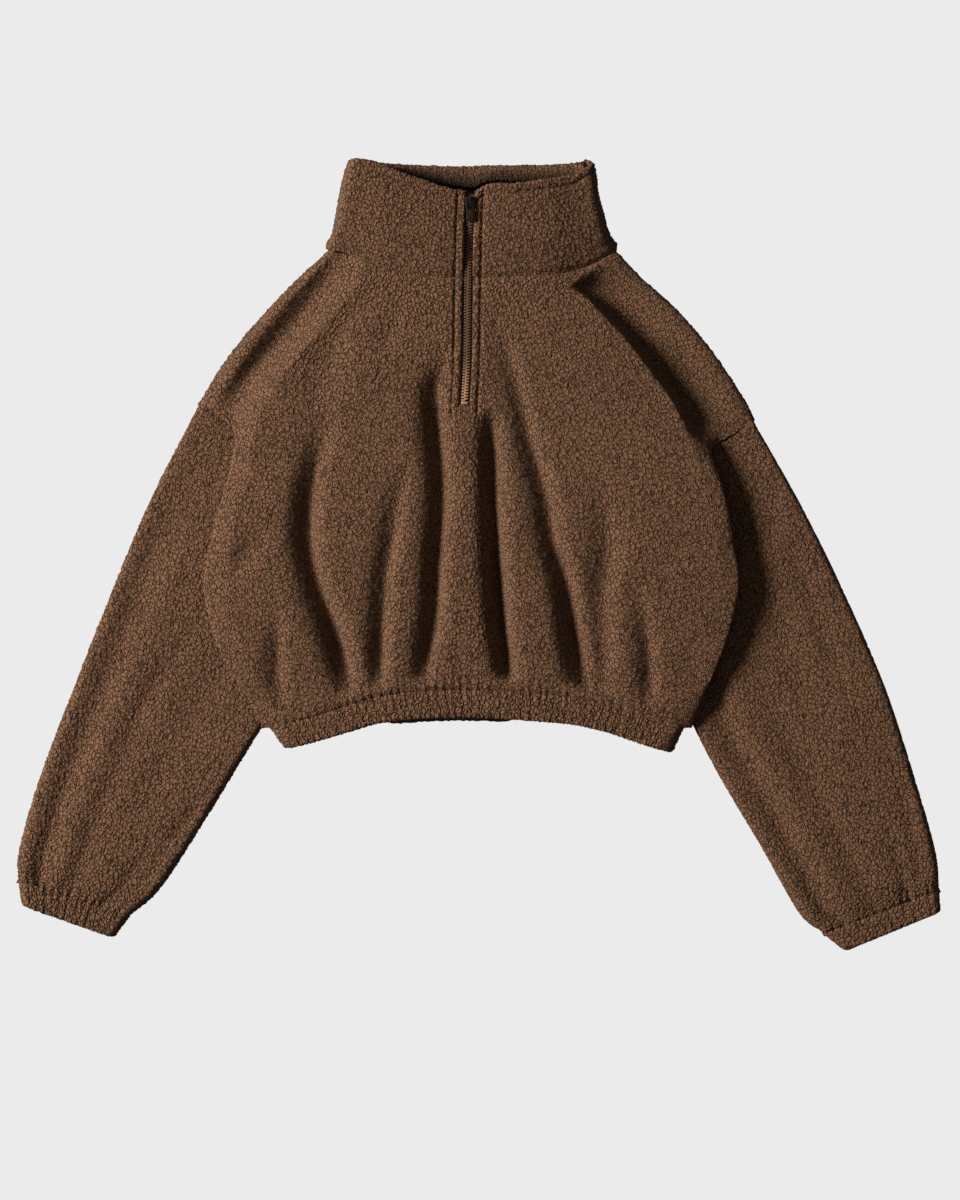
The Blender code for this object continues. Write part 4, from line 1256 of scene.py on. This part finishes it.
    def _front_detail(self, x: np.ndarray, y: np.ndarray, zip_middle: float) -> np.ndarray:
        """Relief of the seams, the zip's stitched edges and the gathers.

        Args:
            x, y: places on the front.
            zip_middle: x of the zip's middle beside them.

        Returns:
            What to add to the front's height.
        """
        depth, gather_reach, power = self.hem_gather
        neck_gap = along(NECK_FRONT, x) - y
        hem_gap = y - along(BAND_TOP, x)
        z = -self.neck_groove * dip(neck_gap, SEAM_HALF) - self.hem_groove * dip(hem_gap, SEAM_HALF)
        share = (x - BAND_TOP_ENDS[0]) / (BAND_TOP_ENDS[1] - BAND_TOP_ENDS[0])
        fade = np.clip(1.0 - hem_gap / gather_reach, 0.0, 1.0) ** power
        z = z + fade * gathers(BAND_GATHERS, depth, share)
        z = z - sum(fold.drop(x, y) for fold in SHOULDER_FOLDS.values())
        beside = np.abs(x - zip_middle) - SLOT_HALF
        reach = ease((y - ZIP_END_Y + 14.0) / 6.0)
        stitched = ZIP_STITCH_DEPTH * reach * dip(beside - ZIP_STITCH, STITCH_HALF)
        box = (ZIP_STITCH_DEPTH * dip(y - BOX_STITCH_Y, STITCH_HALF)
               * ease((ZIP_STITCH + 1.0 - beside) / 2.0))
        groove, width = self.slot_groove
        return z - stitched - box - groove * reach * dip(beside, width)

    def back(self) -> bpy.types.Object:
        """The back: a flat panel under everything."""
        plan = SKINS
        levels = np.linspace(self.back_top, HEM_LEVEL, plan.back_rows)
        rows = []
        for level in levels:
            left = float(rim_value(LEFT_RIM, "seam_x", level))
            right = float(rim_value(RIGHT_RIM, "seam_x", level))
            across, z, _ = flat_ring(right - left, CLOTH, 0.0, plan.back_ring)
            x = left + across
            low = along(BAND_TOP, x) + SEAM
            foot = ease((WAIST_LEVEL - level) / (WAIST_LEVEL - HEM_LEVEL))
            y = level + foot * (low - HEM_LEVEL)
            head = ease((level - CHEST_LEVEL) / (self.back_top - CHEST_LEVEL))
            y = y + (head * (NECK_BACK_Y - SEAM - self.back_top) * ease((x - left) / self.end_round)
                     * ease((right - x) / self.end_round))
            rows.append(np.stack((x, y, z), axis=1))
        points = np.array(rows)
        inside = np.zeros((points.shape[0] - 1, points.shape[1] - 1), bool)
        inside[:, 1:plan.back_ring[0] - 1] = True
        piece = skin("back_skin", points, ring=True, gone=inside)
        return self._finish(piece, ["back"], (0.58, 0.50), 0.21, [])

    def sleeve(self, side: Side) -> bpy.types.Object:
        """A long sleeve, one skin all round.

        Args:
            side: which sleeve.

        Returns:
            The piece.
        """
        plan = SKINS
        rings, rim = SLEEVES[side], RIMS[side]
        knots = range(len(rings))
        columns = list(zip(*rings))
        last = len(rings) - 1
        shoulder_y, underarm_y = ARMHOLE_LEVELS[side]
        start_x, start_y, end_x, end_y = rings[0][:4]
        lead = np.array([side.value * 0.4, -0.9]) * SLEEVE_LEAD
        depth, gather_reach, power = self.cuff_gather
        rows = []
        for station in np.linspace(0.0, last, plan.sleeve_rows):
            outer_x, outer_y, inner_x, inner_y, height = (
                float(smooth(station, knots, column)) for column in columns)
            width = math.hypot(inner_x - outer_x, inner_y - outer_y)
            across, z, top = flat_ring(width, height, 0.0, plan.sleeve_ring)
            share = across / width
            strength = float(ease(station / 1.5) * ease((last - station) / 0.7))
            rise = self.sleeve_crown * np.sin(math.pi * share) * strength
            rise = rise - sum(crease.drop(station, share) for crease in SLEEVE_CREASES[side])
            to_cuff = (last - station) / last * self.sleeve_long
            fade = max(0.0, 1.0 - to_cuff / gather_reach) ** power
            rise = (rise + fade * gathers(CUFF_GATHERS, depth, share)
                    - self.cuff_groove[0] * dip(to_cuff, self.cuff_groove[1]))
            rise = rise + self.armhole_ridge[0] * dip(station * RING_STEP, self.armhole_ridge[1])
            z = z + top_share(top) * rise
            seam_y = shoulder_y + (underarm_y - shoulder_y) * share
            seam_x = rim_value(rim, "seam_x", seam_y)
            pull = float(ease(1.0 - station / self.armhole_turn))
            x = outer_x + (inner_x - outer_x) * share
            y = outer_y + (inner_y - outer_y) * share
            x = x + pull * (seam_x + lead[0] - start_x - (end_x - start_x) * share)
            y = y + pull * (seam_y + lead[1] - start_y - (end_y - start_y) * share)
            rows.append(np.stack((x, y, z), axis=1))
        points = np.array(rows)
        inward = -lead / np.hypot(*lead)
        onward = np.array([ends[1] - ends[0] for ends in
                           ((rings[-2][k] + rings[-2][k + 2], rings[-1][k] + rings[-1][k + 2])
                            for k in (0, 1))])
        onward = onward / np.hypot(*onward)
        points = np.concatenate((self._tucked(points[:1], inward * 5.0), points,
                                 self._tucked(points[-1:], onward * 5.0)))
        piece = skin(f"sleeve_{side.word}_skin", points, ring=True)
        return self._finish(piece, [f"sleeve_{side.word}"], (0.40, 0.54), 0.17, [])

    @staticmethod
    def _tucked(ring: np.ndarray, shift: np.ndarray) -> np.ndarray:
        """A ring of points moved along and drawn in, for a seam.

        Args:
            ring: one row of a skin's points.
            shift: how far it moves, along x and y.

        Returns:
            The new ring.
        """
        low, high = ring[..., 2].min(), ring[..., 2].max()
        tucked = ring.copy()
        tucked[..., 2] = SEAM_HALF + ((ring[..., 2] - low) * (high - low - 2.0 * SEAM_HALF)
                                      / (high - low))
        tucked[..., :2] += shift
        return tucked

    def _band(self, name: str, ring_at: Callable[[float, float], np.ndarray],
              rows: tuple[int, int, int]) -> bpy.types.Object:
        """Skin of a folded band: down the outside, round its foot and up the inside.

        Args:
            name: the piece's name.
            ring_at: function of (share down, inset) that gives one ring of points.
            rows: steps down the outside, round the foot and up the inside.

        Returns:
            The new object.
        """
        down, turn, up = rows
        half = DOUBLE_CLOTH / 2.0
        length = self.band_long
        shares = list(np.linspace(0.0, 1.0 - half / length, down + 1))
        insets = [0.0] * (down + 1)
        for angle in np.linspace(0.0, math.pi, turn + 1)[1:]:
            shares.append(1.0 - half / length + half / length * math.sin(angle))
            insets.append(half * (1.0 - math.cos(angle)) * self.wall)
        for share in np.linspace(1.0 - half / length, self.up_inside, up + 1)[1:]:
            shares.append(share)
            insets.append(half * 2.0 * self.wall)
        points = np.array([ring_at(share, inset) for share, inset in zip(shares, insets)])
        return skin(name, points, ring=True)

    def cuff(self, side: Side) -> bpy.types.Object:
        """A gathered cuff band at the wrist.

        Args:
            side: which sleeve it ends.

        Returns:
            The piece.
        """
        ends = CUFFS[side]

        def ring_at(share_down: float, inset: float) -> np.ndarray:
            """One ring of the cuff, at a share of its depth and an inset."""
            outer_x, outer_y, inner_x, inner_y, height = (
                a + (b - a) * share_down for a, b in zip(*ends))
            width = math.hypot(inner_x - outer_x, inner_y - outer_y)
            across, z, top = flat_ring(width, height, inset, SKINS.cuff_ring)
            share = across / width
            relief = self.cuff_band.relief(share, share_down)
            z = z + top_share(top) * relief * max(0.0, 1.0 - inset / SEAM_HALF)
            x = outer_x + (inner_x - outer_x) * share
            y = outer_y + (inner_y - outer_y) * share
            return np.stack((x, y, z), axis=1)

        piece = self._band(f"cuff_{side.word}_skin", ring_at, SKINS.cuff_rows)
        return self._finish(piece, [f"cuff_{side.word}"], (0.28, 0.06), 0.0145, [])

    def hem(self) -> bpy.types.Object:
        """The gathered hem band."""
        def ring_at(share_down: float, inset: float) -> np.ndarray:
            """One ring of the hem band, at a share of its depth and an inset."""
            left, right = (a + (b - a) * share_down for a, b in zip(BAND_TOP_ENDS, BAND_FOOT_ENDS))
            width = right - left
            across, z, top = flat_ring(width, BAND_HEIGHT, inset, SKINS.hem_ring)
            share = across / width
            relief = self.hem_band.relief(share, share_down)
            x = left + across
            top_x = BAND_TOP_ENDS[0] + share * (BAND_TOP_ENDS[1] - BAND_TOP_ENDS[0])
            foot_x = BAND_FOOT_ENDS[0] + share * (BAND_FOOT_ENDS[1] - BAND_FOOT_ENDS[0])
            peek = BACK_PEEK * ease((x - PEEK_SPAN[0]) / 20.0) * ease((PEEK_SPAN[1] - x) / 20.0)
            foot = along(BAND_FOOT, foot_x) - peek * (1.0 - ease(z / BAND_HEIGHT))
            start = along(BAND_TOP, top_x)
            y = start - 1.5 * SEAM + (foot - start) * share_down
            z = z + top_share(top) * relief * max(0.0, 1.0 - inset / SEAM_HALF)
            return np.stack((x, y, z), axis=1)

        piece = self._band("hem_band_skin", ring_at, SKINS.hem_rows)
        return self._finish(piece, ["hem_band"], (1.0, 0.065), 0.06, ["back_skin"])

    def collar(self) -> bpy.types.Object:
        """The stand collar: round the neck, and over its top edge to the inside."""
        front_steps, fold_steps, back_steps = SKINS.collar_columns
        up, turn, down = SKINS.collar_rows
        route = [("front_left", s) for s in np.linspace(0, 1, front_steps)]
        route += [("left_fold", s) for s in np.linspace(0, 1, fold_steps)[1:-1]]
        route += [("back", s) for s in np.linspace(0, 1, back_steps)]
        route += [("right_fold", s) for s in np.linspace(0, 1, fold_steps)[1:-1]]
        route += [("front_right", s) for s in np.linspace(0, 1, front_steps)]
        half = DOUBLE_CLOTH / 2.0
        roll = half / 95.0
        heights = [-0.025] + list(np.linspace(0.0, 1.0 - roll, up + 1))
        insets = [3.0] + [0.0] * (up + 1)
        for angle in np.linspace(0.0, math.pi, turn + 1)[1:]:
            heights.append(1.0 - roll + roll * math.sin(angle))
            insets.append(half * (1.0 - math.cos(angle)))
        heights += list(np.linspace(1.0 - roll, self.up_inside, down + 1)[1:])
        insets += [DOUBLE_CLOTH] * down
        heights = np.array(heights)
        insets = np.array(insets)
        columns = [self._collar_column(part, share, heights, insets) for part, share in route]
        ends = []
        for part in ("front_left", "front_right"):
            share = 0.0 if part == "front_left" else 1.0
            ends.append([self._collar_column(part, share, heights,
                                             insets + (half - insets) * close, bulge=close)
                         for close in (0.5, 1.0)])
        columns = ends[0][::-1] + columns + ends[1]
        points = np.array(columns).transpose(1, 0, 2)
        # Painted shade: the collar's inside is painted darker below its rim, most at the left,
        # standing in for the light that the collar keeps out.
        inside = np.clip((insets - half) / half, 0.0, 1.0)[:, None]
        below_rim = along(COLLAR_TOP_BACK, points[..., 0]) - points[..., 1]
        toward_right = ease((points[..., 0] + 50.0) / 80.0)
        strength = self.painted_inside_shade[0] - self.painted_inside_shade[1] * toward_right
        shade = 1.0 - strength * inside * np.clip((below_rim - 3.0) / 4.0, 0.0, 1.0)
        piece = skin("collar_skin", points, shade=shade)
        return self._finish(piece, ["collar"], (0.55, 0.20), 0.105, ["back_skin"])

    @staticmethod
    def _collar_column(part: str, share: float, heights: np.ndarray, insets: np.ndarray,
                       bulge: float = 0.0) -> np.ndarray:
        """One column of the collar's skin, from the outer seam over the top to the inside.

        Args:
            part: which stretch of the way round the neck it is in.
            share: how far along that stretch.
            heights, insets: share of the collar's rise, and depth below its outer face,
                at each point.
            bulge: how far the column stands beyond the zip's slot.

        Returns:
            The column's points.
        """
        level = NECK_LEVEL + COLLAR_RISE * heights
        left = along(COLLAR_LEFT, level)
        right = along(COLLAR_RIGHT, level)
        middle = zip_x(NECK_ZIP_Y + (COLLAR_ZIP_TOP - NECK_ZIP_Y) * heights)
        fold_left, fold_right = left + COLLAR_FOLD, right - COLLAR_FOLD
        angle = math.pi * share
        swing = (COLLAR_FOLD - insets) * math.sin(angle)
        x = {"front_left": (1 - share) * (middle - SLOT_HALF + bulge) + share * fold_left,
             "front_right": share * (middle + SLOT_HALF - bulge) + (1 - share) * fold_right,
             "back": (1 - share) * fold_left + share * fold_right,
             "left_fold": fold_left - swing,
             "right_fold": fold_right + swing}[part]
        crown_x = np.clip(x, fold_left, fold_right)
        crown = along(COLLAR_BASE, crown_x)
        crown = crown + (along(COLLAR_CROWN, crown_x) - crown) * np.clip(heights, 0.0, 1.0)
        tall = along(COLLAR_HEIGHT, level) + crown
        radius = tall / 2.0
        turned = (radius - insets) * math.cos(angle)
        inside = np.clip(insets / DOUBLE_CLOTH, 0.0, 1.0)
        flare = np.clip((heights - 0.68) / 0.28, 0.0, 1.0)
        rim = COLLAR_RIM * flare * (0.4 + 0.6 * inside)
        z = {"front_left": tall - insets, "front_right": tall - insets, "back": insets + rim,
             "left_fold": radius + turned, "right_fold": radius - turned}[part]
        front_share = ease((z - DOUBLE_CLOTH) / (tall - 2.0 * DOUBLE_CLOTH))
        base = front_share * along(NECK_FRONT, x) + (1 - front_share) * NECK_BACK_Y + COLLAR_GAP
        top = (front_share * along(COLLAR_TOP_FRONT, x)
               + (1 - front_share) * along(COLLAR_TOP_BACK, x))
        outside = np.clip(1.0 - insets / SEAM_HALF, 0.0, 1.0)
        y = base + (top - base) * heights
        seam = 2.0 * dip(y - base, SEAM_HALF) * outside
        stitch = 2.0 * dip(top - y - 10.0, 1.8) * outside
        beside = np.abs(x - middle) - SLOT_HALF
        zip_stitch = ZIP_STITCH_DEPTH * dip(beside - ZIP_STITCH, STITCH_HALF) * outside
        z = z - front_share * (seam + stitch + zip_stitch)
        return np.stack((x, y, z), axis=1)


# ---- the zip ----
@dataclass
class Zip:
    """Makes the zip's pieces and the sewing beside it.

    Args:
        materials: the shared materials.
        tape_counts: rows and columns of the tape's mesh.
        neck_gap: half the length, at the neck seam, that the tape dips under and no
            stitch crosses.
    """

    materials: Materials
    tape_counts: tuple = (220, 15)
    neck_gap: float = 3.0

    @staticmethod
    def _finish(piece: bpy.types.Object, look: bpy.types.Material, slot: str,
                body: str = "garment", replaced: tuple[str, ...] = ()) -> bpy.types.Object:
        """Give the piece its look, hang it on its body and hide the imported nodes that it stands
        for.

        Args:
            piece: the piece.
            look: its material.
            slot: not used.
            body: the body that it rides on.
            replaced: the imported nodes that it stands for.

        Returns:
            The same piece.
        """
        piece.data.materials.append(look)
        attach(piece, body)
        if replaced:
            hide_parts(*replaced)
        return piece

    def tape(self) -> bpy.types.Object:
        """Both tapes as one woven strip under the teeth."""
        rows, columns = self.tape_counts
        ys = np.linspace(ZIP_END_Y + 1.0, ZIP_TOP_Y, rows)
        across = np.linspace(-TAPE_HALF, TAPE_HALF, columns)
        curl = 0.3 * (np.abs(across) / TAPE_HALF) ** 4 - 0.35 * dip(across, 0.5)
        points = np.array([np.stack((zip_x(y) + across, np.full(len(across), y),
                                     zip_level(y) + TAPE_LOW + curl), axis=1) for y in ys])
        points[np.abs(points[..., 1] - NECK_ZIP_Y) < self.neck_gap, 2] -= 0.3
        piece = self._finish(skin("zip_tape_woven", points[::-1]), self.materials.tape, "zip_tape",
                             replaced=("zip_tape_left", "zip_tape_right"))
        return piece

    def teeth(self) -> bpy.types.Object:
        """Two rows of teeth that mesh."""
        places = []
        steps = int((CHAIN_END_Y - CHAIN_START_Y) / (TOOTH.pitch / 2.0))
        for step in range(steps + 1):
            side = 1.0 if step % 2 else -1.0
            y = CHAIN_START_Y + step * TOOTH.pitch / 2.0
            places.append(zip_place(y, side * TOOTH.aside, CHAIN_MIDDLE))
        piece = joined("zip_teeth", [(box_form(TOOTH.size, TOOTH.bevel), places)])
        return self._finish(piece, self.materials.teeth, "zip_teeth", replaced=("zip_chain",))

    def stop(self) -> bpy.types.Object:
        """The clip that closes the zip's lower end."""
        clip = box_form((7.0, 2.9, 2.2), 0.6)
        groove = box_form((1.0, 2.9, 0.5), 0.2)
        middle = zip_place(STOP_Y, 0.0, CHAIN_MIDDLE)
        piece = joined("zip_stop", [(clip, [middle]),
                                    (groove, [middle @ Matrix.Translation((0.0, 0.0, 1.0))])])
        return self._finish(piece, self.materials.teeth, "zip_teeth",
                            replaced=("zip_bottom_stop",))

    def slider(self) -> bpy.types.Object:
        """The slider: a shield-shaped plate, two flanges, and the crown over the crossbar."""
        right = ((3.9, 6.4), (4.8, 5.9), (5.1, 5.0), (5.1, -0.5), (4.7, -3.6), (3.9, -5.7),
                 (2.7, -6.4))
        outline = right + tuple((-x, y) for x, y in right[::-1])
        plate = plate_form(outline, 0.8, 2.0, 0.3)
        flange = box_form((0.9, 11.0, 2.5), 0.25)
        side = ((-6.3, 1.6), (-6.3, 4.2), (-5.8, 5.0), (-4.9, 5.55), (-3.8, 5.8), (5.2, 5.8),
                (5.9, 5.5), (6.3, 4.9), (6.3, 1.6), (5.1, 1.6), (5.1, 4.6), (-5.1, 4.6),
                (-5.1, 1.6))
        crown = plate_form(side, -1.3, 1.3, 0.3)
        level = Matrix.Translation((float(zip_x(SLIDER_Y)), SLIDER_Y, float(zip_level(SLIDER_Y))))
        upright = (Matrix.Translation((0.0, CROWN_Y - SLIDER_Y, 0.0))
                   @ Matrix.Rotation(math.pi / 2.0, 4, "Z")
                   @ Matrix.Rotation(math.pi / 2.0, 4, "X"))
        piece = joined("zip_slider_body", [
            (plate, [level]),
            (flange, [level @ Matrix.Translation((x, 0.0, -0.45)) for x in (-4.65, 4.65)]),
            (crown, [level @ upright])])
        return self._finish(piece, self.materials.metal, "zip_metal", replaced=("zip_slider",))

    def pull(self) -> bpy.types.Object:
        """The pull tab, which swings on the crown."""
        turn = np.linspace(0.0, math.pi / 2.0, 9)
        corner = [(PULL.half - PULL.corner + PULL.corner * math.cos(angle),
                   -PULL.length + PULL.corner - PULL.corner * math.sin(angle)) for angle in turn]
        edge = [(PULL.half, -PULL.loop_long)] + corner
        top = PULL.bar
        outline = ([(PULL.half, top)] + edge + [(-x, y) for x, y in edge[::-1]]
                   + [(-PULL.half, top), (-PULL.loop_half, top),
                      (-PULL.loop_half, -PULL.loop_long + 0.8),
                      (-PULL.loop_half + 0.8, -PULL.loop_long),
                      (PULL.loop_half - 0.8, -PULL.loop_long),
                      (PULL.loop_half, -PULL.loop_long + 0.8), (PULL.loop_half, top)])
        plate = plate_form(outline, -PULL.thick / 2.0, PULL.thick / 2.0, PULL.bevel)
        bar = bmesh.new()
        bmesh.ops.create_cone(bar, cap_ends=True, segments=20, radius1=PULL.bar,
                              radius2=PULL.bar, depth=PULL.bar_long)
        half = PULL.half - PULL.panel
        long = PULL.length - PULL.loop_long - 2.4 * PULL.panel
        rim = [(half * math.copysign(abs(math.cos(a)) ** 0.5, math.cos(a)),
                long / 2.0 * math.copysign(abs(math.sin(a)) ** 0.5, math.sin(a)))
               for a in np.linspace(0.0, 2.0 * math.pi, 33)[:-1]]
        ridge = plate_form(rim, 0.0, PULL.sunk, 0.12)
        hinge = Matrix.Translation((float(zip_x(HINGE_Y)), HINGE_Y,
                                    float(zip_level(SLIDER_Y)) + HINGE_RISE))
        panel = hinge @ Matrix.Translation((0.0, -(PULL.loop_long + PULL.length) / 2.0 - 0.2,
                                            PULL.thick / 2.0 - 0.05))
        piece = joined("zip_pull_tab", [
            (plate, [hinge]), (bar, [hinge @ Matrix.Rotation(math.pi / 2.0, 4, "Y")]),
            (ridge, [panel])])
        return self._finish(piece, self.materials.metal, "zip_metal", "pull_tab", ("zip_pull",))

    def stitches(self) -> bpy.types.Object:
        """The sewing: along both sides of the zip and across its foot."""
        places = []
        out = SLOT_HALF + ZIP_STITCH
        sunk = -ZIP_STITCH_DEPTH - 0.2
        for y in np.arange(BOX_STITCH_Y, COLLAR_ZIP_TOP - self.neck_gap, STITCH.pitch):
            if abs(y - NECK_ZIP_Y) < self.neck_gap:
                continue
            for aside in (-out, out):
                x = float(zip_x(max(y, ZIP_END_Y))) + aside
                if y > NECK_ZIP_Y:
                    z = float(zip_level(y) + along(COLLAR_CROWN, x))
                else:
                    z = float(plain_front_height(x, y))
                places.append(Matrix.Translation((x, y, z + sunk)))
        middle = float(zip_x(ZIP_END_Y))
        for x in np.arange(-out + STITCH.pitch, out - 1.0, STITCH.pitch):
            z = float(plain_front_height(middle + x, BOX_STITCH_Y))
            places.append(Matrix.Translation((middle + x, BOX_STITCH_Y, z + sunk))
                          @ Matrix.Rotation(math.pi / 2.0, 4, "Z"))
        piece = joined("stitches", [(box_form(STITCH.size, STITCH.bevel), places)])
        return self._finish(piece, self.materials.thread, "fleece")


# ---- stage ----
@dataclass(frozen=True)
class Stage:
    """Pale paper under the garment, the camera above it, and the lights, in metres.

    Args:
        paper_half, paper_sunk: half the paper's width, and how far below the garment.
        lens, sensor: of the camera, in millimetres.
        seen, level: height of the picture, and of the plane on which it is measured.
        aim_y: the camera's place along y.
        wide, power: the window's diameter, and its strength in watts.
        azimuth, elevation, far: the window's direction in degrees, and its distance.
        window_tint, room_tint, room: colours of the window and the room, and the
            strength of the room's light.
    """

    paper_half: float = 4.0
    paper_sunk: float = 0.001
    lens: float = 85.0
    sensor: float = 36.0
    seen: float = 1.26
    level: float = 0.02
    aim_y: float = -0.0478
    wide: float = 2.3
    power: float = 760.0
    azimuth: float = 165.0
    elevation: float = 30.5
    far: float = 6.9
    window_tint: tuple = (1.0, 0.98, 0.95)
    room_tint: tuple = (0.97, 0.98, 1.0)
    room: float = 0.1

    def build(self) -> None:
        """Make all of it."""
        bpy.context.scene.view_settings.view_transform = "Standard"
        self._paper()
        self._camera()
        self._lights()

    def _paper(self) -> None:
        """The paper, which glows evenly and lights nothing."""
        bm = bmesh.new()
        bmesh.ops.create_grid(bm, x_segments=1, y_segments=1, size=self.paper_half)
        mesh = bpy.data.meshes.new("paper")
        bm.to_mesh(mesh)
        bm.free()
        paper = placed("paper", mesh)
        paper.location.z = -self.paper_sunk
        look = bpy.data.materials.new("paper")
        look.use_nodes = True
        tree = look.node_tree
        glow = set_inputs(node(tree, "ShaderNodeEmission"), Color=(*PAPER, 1.0))
        tree.links.new(glow.outputs[0], tree.nodes["Material Output"].inputs["Surface"])
        mesh.materials.append(look)
        paper.visible_diffuse = False
        paper.visible_glossy = False

    def _camera(self) -> None:
        """The camera, looking straight down."""
        view = bpy.data.cameras.new("camera")
        view.lens = self.lens
        view.sensor_width = self.sensor
        camera = placed("camera", view)
        camera.location = (0.0, self.aim_y, self.level + self.seen * self.lens / self.sensor)
        bpy.context.scene.camera = camera

    def _lights(self) -> None:
        """The window from the left, and the room's weak light."""
        window = bpy.data.lights.new("window", "AREA")
        window.shape = "DISK"
        window.size = self.wide
        window.energy = self.power
        window.color = self.window_tint
        lamp = placed("window", window)
        azimuth, elevation = math.radians(self.azimuth), math.radians(self.elevation)
        toward = Vector((math.cos(azimuth) * math.cos(elevation),
                         math.sin(azimuth) * math.cos(elevation), math.sin(elevation)))
        lamp.rotation_euler = toward.to_track_quat("Z", "Y").to_euler()
        lamp.location = toward * self.far
        world = bpy.data.worlds.new("room")
        world.use_nodes = True
        set_inputs(world.node_tree.nodes["Background"], Color=(*self.room_tint, 1.0),
                   Strength=self.room)
        bpy.context.scene.world = world


def main() -> None:
    """Build the scene."""
    logging.basicConfig(level=logging.INFO)
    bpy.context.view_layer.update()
    garment = Garment()
    garment.back()
    for side in Side:
        garment.sleeve(side)
        garment.cuff(side)
    garment.hem()
    garment.front()
    garment.collar()
    fastener = Zip(garment.materials)
    for piece in (fastener.tape(), fastener.teeth(), fastener.stop(), fastener.slider(),
                  fastener.pull(), fastener.stitches()):
        log.info("%s: %d faces", piece.name, len(piece.data.polygons))
    Stage().build()


if __name__ == "__main__":
    main()
